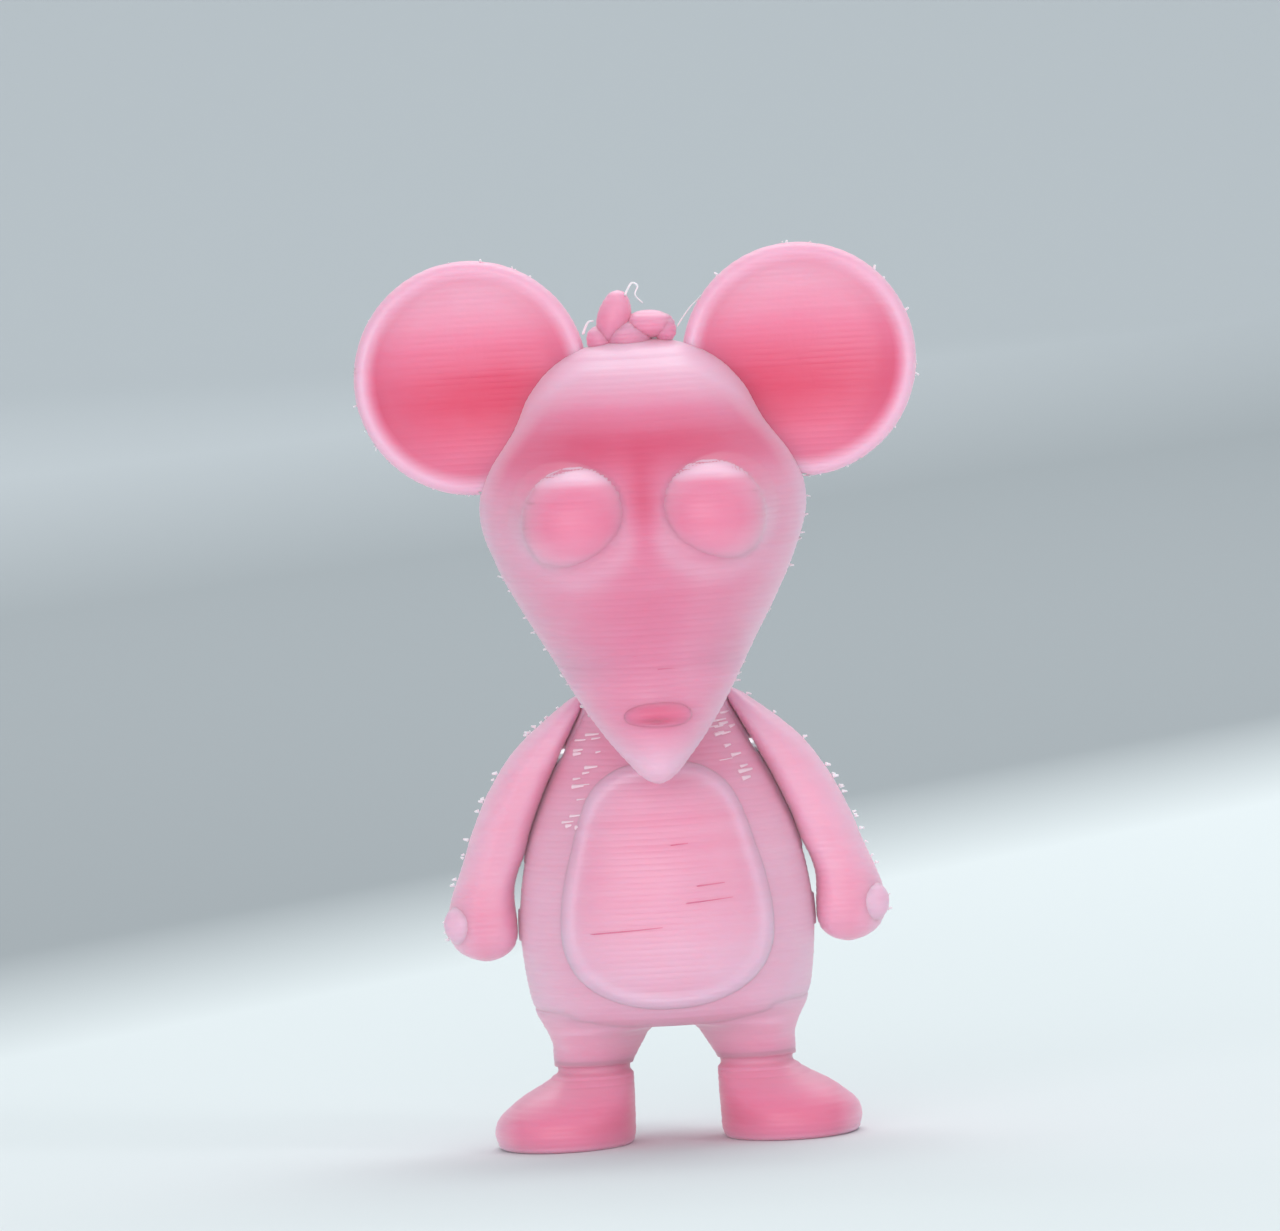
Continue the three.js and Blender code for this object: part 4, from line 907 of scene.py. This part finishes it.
def leg_link(name, side):
    """The yoke and riser on top of the ankle, and the pin on them that the rocker moves."""
    pin_z = joint_place("rocker_swing")[2]
    corners = [
        ((3.9, -1.7, 8.7), (7.1, 1.7, 9.3)), ((4.1, -3.9, 9.2), (5.9, 0.95, 10.2)),
        ((4.3, -3.9, 10.1), (5.7, -3.3, 15.8))]
    piece = blocks(f"{name}_leg_link", corners, side, "body plastic")
    finish_piece(piece, f"{name}_leg", "deep_pink")
    lengthwise = [(-3.5, 0.45), (-4.9, 0.45), (-5.0, 0.35)]
    stations = [(side * 5.0 * MM, pin_z, y * MM, radius * MM) for y, radius in lengthwise]
    return finish_piece(turned(f"{name}_leg_pin", stations, "body plastic"), f"{name}_leg", "deep_pink")


# ---------------------------------------------------------------- winding key
def winding_key():
    """Two flat rings joined by a bridge, on a turned stem with a collar. A ring's section is the rounded
    rectangle |u/a|^4 + |v/b|^4 = 1 swept round a circle."""
    low, high = node_box("winding_key")
    lobe = 2.7 * MM
    bore = 1.2 * MM
    middle_y, middle_z = high[1] - lobe, joint_place("key_turn")[2]
    thick = 0.55 * MM
    sweep = np.linspace(0, 2 * np.pi, 121)
    turn = full_turn(40)
    reach = (lobe + bore) / 2 + (lobe - bore) / 2 * squared(np.cos(turn), 0.5)
    rise = thick * squared(np.sin(turn), 0.5)
    for name, side in SIDES:
        x = side * (high[0] - lobe) + reach * np.cos(sweep)[:, None]
        y = middle_y + reach * np.sin(sweep)[:, None]
        points = np.stack([x, y, np.broadcast_to(middle_z + rise, x.shape)], axis=-1)
        faces = quads(*points.shape[:2], True).tolist()
        piece = mesh_object(f"key_ring_{name}", points, faces, np.full(points.shape[:2], 0.5))
        finish_piece(wear(piece, "bright steel"), "winder", "steel")
    across = np.linspace(-1, 1, 41)
    half = (0.85 + 0.55 * across**4) * MM
    ring = full_turn(48)
    x = across[:, None] * (high[0] - 2 * lobe + 0.35 * MM)
    y = middle_y + half[:, None] * squared(np.cos(ring), 0.5)
    z = middle_z + thick * 0.96 * squared(np.sin(ring), 0.5)
    points = np.stack(np.broadcast_arrays(x, y, z), axis=-1)
    skin_piece("key_bridge", points, 0.5, "bright steel", "winder", "steel")
    # share of the way from the end of the stem to the bridge against radius in mm
    stem = [(0.0, 1.1), (0.06, 1.42), (0.12, 1.5), (0.3, 1.5), (0.34, 1.42), (0.38, 1.2), (0.42, 1.12),
            (0.8, 1.12), (0.84, 1.2), (0.9, 1.42), (1.0, 1.3), (1.02, 0.9)]
    long = middle_y - low[1] - 0.2 * MM
    stations = [(0.0, middle_z, low[1] + share * long, radius * MM) for share, radius in stem]
    piece = turned("key_stem", stations, "bright steel")
    return finish_piece(piece, "winder", "steel", "winding_key")


# ---------------------------------------------------------------- marks of printing
def threads():
    """Fine strings between the ears and the tuft, placed from the top of the tuft."""
    crown = node_box("hair_tuft")[1][2] / MM
    curl = [(-0.7, 0.3, crown - 1.0), (-0.3, 0.0, crown - 0.1), (0.1, -0.2, crown + 0.5),
            (0.5, -0.1, crown + 0.3), (0.3, 0.1, crown - 0.3), (0.8, 0.1, crown - 0.9)]
    strand("crown_curl", curl, 0.09, "head")
    climb = [(3.0, -0.2, crown - 2.6), (3.5, 0.2, crown - 1.9),
             (4.1, 0.5, crown - 1.2), (4.9, 0.9, crown - 0.6)]
    strand("ear_string", climb, 0.06, "head", end=0.1)
    hook = [(-3.4, 0.4, crown - 2.8), (-3.0, 0.1, crown - 2.0), (-2.6, 0.2, crown - 1.9)]
    strand("crown_string", hook, 0.1, "head")


def ear_flecks(draw):
    """Blobs along the rims of the ears, where the head doesn't hide them."""
    low, high = node_box("left_ear")
    radius = (high[2] - low[2]) / 2 / MM
    shortest, longest = np.array(CAD_BOX[0]) / MM - 0.25, np.array(CAD_BOX[1]) / MM + 0.25
    for number in range(46):
        side = 1 if number % 2 else -1
        angle = draw.uniform(-2.1, 2.3)
        x = side * (high[0] / MM - radius + radius * math.cos(angle) * 0.985)
        z = high[2] / MM - radius + radius * math.sin(angle) * 0.985
        if abs(x) < 7.6 and z < 54:
            continue
        start = np.array((x, draw.uniform(0.5, 2.0), z))
        out = np.array((side * math.cos(angle), 0.0, math.sin(angle)))
        size = draw.uniform(0.2, 0.6)
        drift = draw.uniform(-0.5, 0.5, 3)
        tip = np.clip(start + out * size * 0.5 + drift * size * 0.6, shortest, longest)
        path = [start - out * 0.1, start + out * size * 0.25, tip]
        strand(f"ear_fleck_{number}", path, draw.uniform(0.08, 0.17), "head", "deep_pink")


def arm_flecks(draw):
    """Stubs on the outer edges of the arms."""
    for number in range(40):
        side = 1 if number % 2 else -1
        z = draw.uniform(14.0, 30.0)
        outer = spline((ARM_TOP - z) / ARM_LENGTH, ARM_KEYS[:, 0], ARM_KEYS[:, 2]) * ARM_WIDTH / MM
        x = side * (torso_half(z * MM) / MM + 0.3 + outer)
        length = draw.uniform(0.15, 0.4)
        start = np.array((x - side * 0.06, draw.uniform(-0.8, 0.8), z))
        tip = start + np.array((side * length, draw.uniform(-0.1, 0.1), draw.uniform(-0.12, 0.12)))
        body = "left_arm" if side > 0 else "right_arm"
        path = [start, (start + tip) / 2, tip]
        strand(f"arm_fleck_{number}", path, draw.uniform(0.08, 0.15), body, "body_pink")


def cheek_flecks(draw):
    """Stubs on the sides of the snout and the cheeks."""
    for number in range(24):
        side = 1 if number % 2 else -1
        z = draw.uniform(29.0, 45.0)
        half, middle, _ = (float(level) / MM for level in head_levels(np.array(z * MM)))
        start = np.array((side * (half - 0.05), middle, z))
        reach = np.array((side * draw.uniform(0.15, 0.45), draw.uniform(-0.1, 0.1), draw.uniform(-0.1, 0.15)))
        path = [start, start + reach / 2, start + reach]
        strand(f"cheek_fleck_{number}", path, draw.uniform(0.07, 0.14), "head", "body_pink")


def scars():
    """Short open joins between layers on the chest and the face, as raised threads painted deep pink for the
    painted shade inside them, and small pale streaks on the chest, painted highlights for glints on the layer
    ridges.
    """
    chest_marks = [(-5.2, -0.3, 14.7), (1.3, 4.5, 16.5), (2.1, 4.0, 17.6), (0.5, 1.7, 20.4)]
    for number, (x0, x1, z) in enumerate(chest_marks, 1):
        path = []
        for x in np.linspace(x0, x1, 7):
            path.append((x, float(chest(x * MM, z * MM, 0.17 * MM)) / MM, z + 0.06 * (x - x0)))
        # Painted shade: each open join is a raised thread in deep pink.
        strand(f"layer_gap_{number}", path, 0.045, "root", finish="gap")
    face_marks = [(-7.0, -5.0, 43.6), (-1.3, -0.4, 33.5), (0.3, 1.5, 32.6)]
    for number, (x0, x1, z) in enumerate(face_marks, 1):
        lift = 1.9 if z > 40 else 0.0
        path = [(x, float(face(x * MM, z * MM)) / MM - lift, z) for x in np.linspace(x0, x1, 5)]
        strand(f"face_gap_{number}", path, 0.045, "head", finish="gap")
    # Pale streaks on the chest, raised a little: painted highlights for glints on the layer ridges.
    draw = np.random.default_rng(5)
    for number in range(34):
        side = 1 if number % 2 else -1
        z = draw.uniform(21.8, 28.8)
        x = side * draw.uniform(3.6, 5.2) + (28.8 - z) * 0.16 * side
        length = draw.uniform(0.3, 1.1)
        width = draw.uniform(0.1, 0.2)
        path = []
        for along in (-0.5, 0.0, 0.5):
            beside = x + along * length
            path.append((beside, float(chest(beside * MM, z * MM, -0.04 * MM)) / MM, z + 0.1 * along))
        strand(f"chest_painted_glint_{number}", path, width, "root", finish="smear plastic")


# ---------------------------------------------------------------- stage
def sweep_surface():
    """A floor that bends up into a wall behind: flat, then a quarter circle, then straight up."""
    flat, bend, tall, wide = 1.6, 0.5, 1.8, 3.0
    turn = np.linspace(0, np.pi / 2, 40)
    y = np.concatenate([[-1.6, 0.0], flat + bend * np.sin(turn), [flat + bend]])
    z = np.concatenate([[0.0, 0.0], bend * (1 - np.cos(turn)), [bend + tall]])
    x = np.linspace(-wide, wide, 9)
    points = np.stack(np.broadcast_arrays(x[None, :], y[:, None], z[:, None]), axis=-1)
    piece = mesh_object("sweep", points, quads(len(y), len(x), False).tolist())
    piece.data.materials.append(sweep_finish())


def sweep_finish():
    """Pale near the figure and grey behind: it changes along a slanting line of the floor, and pales again
    towards the wall."""
    colours = bpy.context.scene.mouse_colours
    made = Finish("sweep paint")
    parts = made.node("ShaderNodeSeparateXYZ", {}, {0: made.place()})
    x, y = Wire(made, parts.outputs[0]), Wire(made, parts.outputs[1])
    slant = y - 0.24 - x * 1.9
    level = made.wire("ShaderNodeMapRange", {}, {0: slant, 1: -0.05, 2: 1.15})
    stops = [
        (0.0, colours.floor), (0.095, colours.backdrop), (0.6, colours.backdrop), (1.0, colours.far_wall)]
    colour = made.wire("ShaderNodeValToRGB", {"stops": stops}, {0: level})
    return made.shaded({"Roughness": 0.6, "Specular IOR Level": 0.0}, {"Base Color": colour})


def area_light(name, place, target, size, power, colour=(1.0, 1.0, 1.0)):
    light = bpy.data.lights.new(name, "AREA")
    light.shape = "RECTANGLE"
    light.size, light.size_y = size
    light.energy = power
    light.color = colour
    lamp = bpy.data.objects.new(name, light)
    lamp.location = place
    lamp.rotation_euler = (Vector(target) - Vector(place)).to_track_quat("-Z", "Y").to_euler()
    bpy.context.scene.collection.objects.link(lamp)


def lights():
    """A wide light above and behind that comes through the thin plastic, and soft light in front."""
    middle = (0.0, 0.0, 0.035)
    area_light("back_light", (0.12, 0.42, 0.95), middle, (0.9, 0.7), 4.7, (0.98, 0.99, 1.0))
    area_light("floor_light", (0.0, 1.25, 1.0), (0.0, 1.25, 0.0), (1.6, 1.0), 7.5, (0.97, 0.99, 1.0))
    area_light("front_light", (-0.22, -0.85, 0.2), middle, (0.9, 0.34), 3.6, (1.0, 0.99, 0.98))
    area_light("side_glint", (0.42, -0.35, 0.32), middle, (0.06, 0.2), 0.35)
    world = bpy.data.worlds.new("soft room")
    world.use_nodes = True
    world.node_tree.nodes["Background"].inputs[0].default_value = (0.80, 0.88, 0.92, 1.0)
    world.node_tree.nodes["Background"].inputs[1].default_value = 0.62
    bpy.context.scene.world = world
    bpy.context.scene.view_settings.view_transform = "Standard"


def camera():
    """A long lens a little above the floor, straight in front and rolled, so that the figure leans left."""
    height = CAD_BOX[1][2] - CAD_BOX[0][2]
    distance = 15 * height
    rise, roll = math.radians(3.0), math.radians(3.34)
    target = Vector((-0.0105 * height, 0.0, 0.591 * height))
    back = Vector((0.0, -math.cos(rise), math.sin(rise)))
    level = Vector((1.0, 0.0, 0.0))
    plumb = back.cross(level)
    right = level * math.cos(roll) - plumb * math.sin(roll)
    up = plumb * math.cos(roll) + level * math.sin(roll)
    data = bpy.data.cameras.new("camera")
    data.lens = 36.0 * distance / (1.44 * height)
    data.clip_end = 20.0
    seen = bpy.data.objects.new("camera", data)
    seen.matrix_world = Matrix((right, up, back)).transposed().to_4x4()
    seen.location = target + back * distance
    bpy.context.scene.collection.objects.link(seen)
    bpy.context.scene.camera = seen


# ---------------------------------------------------------------- operators and panel
class MOUSE_OT_torso(bpy.types.Operator):
    """Build the two halves of the torso and the trousers"""
    bl_idname = "mouse.torso"
    bl_label = "Torso"

    def execute(self, context):
        torso_skin("torso_front_skin", math.pi, 2 * math.pi, "torso_front")
        torso_skin("torso_back_skin", 0.0, math.pi, "torso_back")
        for name, side in SIDES:
            trouser(f"{name}_trouser", side)
        return {"FINISHED"}


class MOUSE_OT_belly(bpy.types.Operator):
    """Build the belly patch with its raised bead"""
    bl_idname = "mouse.belly"
    bl_label = "Belly"

    def execute(self, context):
        belly_patch()
        return {"FINISHED"}


class MOUSE_OT_head(bpy.types.Operator):
    """Build the two halves of the head, the eyes and the nose"""
    bl_idname = "mouse.head"
    bl_label = "Head"

    def execute(self, context):
        head_skin("head_front_skin", True)
        head_skin("head_back_skin", False)
        for name, _ in SIDES:
            eye(name)
        nose()
        return {"FINISHED"}


class MOUSE_OT_ears(bpy.types.Operator):
    """Build the dished ears and the tuft between them"""
    bl_idname = "mouse.ears"
    bl_label = "Ears and Tuft"

    def execute(self, context):
        for name, side in SIDES:
            ear(name, side)
        hair_tuft()
        return {"FINISHED"}


class MOUSE_OT_limbs(bpy.types.Operator):
    """Build the arms, the feet and the links above them"""
    bl_idname = "mouse.limbs"
    bl_label = "Limbs"

    def execute(self, context):
        for name, side in SIDES:
            arm(name, side)
            armpit_rib(name, side)
            foot(name, side)
            leg_link(name, side)
        return {"FINISHED"}


class MOUSE_OT_key(bpy.types.Operator):
    """Build the winding key at the back"""
    bl_idname = "mouse.key"
    bl_label = "Winding Key"

    def execute(self, context):
        winding_key()
        return {"FINISHED"}


class MOUSE_OT_marks(bpy.types.Operator):
    """Build the strings, blobs and open joins of the print"""
    bl_idname = "mouse.marks"
    bl_label = "Print Marks"

    def execute(self, context):
        draw = np.random.default_rng(11)
        threads()
        ear_flecks(draw)
        arm_flecks(draw)
        cheek_flecks(draw)
        scars()
        return {"FINISHED"}


class MOUSE_OT_metal(bpy.types.Operator):
    """Give the movement and the other hidden pieces of the frame their finishes"""
    bl_idname = "mouse.metal"
    bl_label = "Movement Finishes"

    def execute(self, context):
        finishes = {
            "brass": "rolled brass", "steel": "bright steel", "spring_steel": "blued steel",
            "body_pink": "body plastic", "deep_pink": "body plastic", "pale_pink": "body plastic"}
        slots = {part["node"]: part["material_slot"] for part in frame["record"]["subparts"]}
        for name, node in frame["nodes"].items():
            wear(node, finishes[slots[name]])
        return {"FINISHED"}


class MOUSE_OT_stage(bpy.types.Operator):
    """Build the floor, the wall behind, the lights and the camera"""
    bl_idname = "mouse.stage"
    bl_label = "Stage"

    def execute(self, context):
        sweep_surface()
        lights()
        camera()
        return {"FINISHED"}


OPERATORS = (
    MOUSE_OT_torso, MOUSE_OT_belly, MOUSE_OT_head, MOUSE_OT_ears, MOUSE_OT_limbs,
    MOUSE_OT_key, MOUSE_OT_marks, MOUSE_OT_metal, MOUSE_OT_stage)


class MOUSE_PT_panel(bpy.types.Panel):
    """Sizes, colours and the steps that build the mouse"""
    bl_idname = "MOUSE_PT_panel"
    bl_label = "Clockwork Mouse"
    bl_space_type = "VIEW_3D"
    bl_region_type = "UI"
    bl_category = "Mouse"

    def draw(self, context):
        for group in (context.scene.mouse_shape, context.scene.mouse_colours):
            for name in group.bl_rna.properties.keys():
                if name not in ("rna_type", "name"):
                    self.layout.prop(group, name)
        for operator in OPERATORS:
            self.layout.operator(operator.bl_idname)


CLASSES = (MouseShape, MouseColours, *OPERATORS, MOUSE_PT_panel)


def register():
    for cls in CLASSES:
        bpy.utils.register_class(cls)
    bpy.types.Scene.mouse_shape = PointerProperty(type=MouseShape)
    bpy.types.Scene.mouse_colours = PointerProperty(type=MouseColours)


def unregister():
    del bpy.types.Scene.mouse_shape
    del bpy.types.Scene.mouse_colours
    for cls in reversed(CLASSES):
        bpy.utils.unregister_class(cls)


def main():
    register()
    bpy.ops.mouse.torso()
    bpy.ops.mouse.belly()
    bpy.ops.mouse.head()
    bpy.ops.mouse.ears()
    bpy.ops.mouse.limbs()
    bpy.ops.mouse.key()
    bpy.ops.mouse.marks()
    bpy.ops.mouse.metal()
    bpy.ops.mouse.stage()


if __name__ == "__main__":
    main()
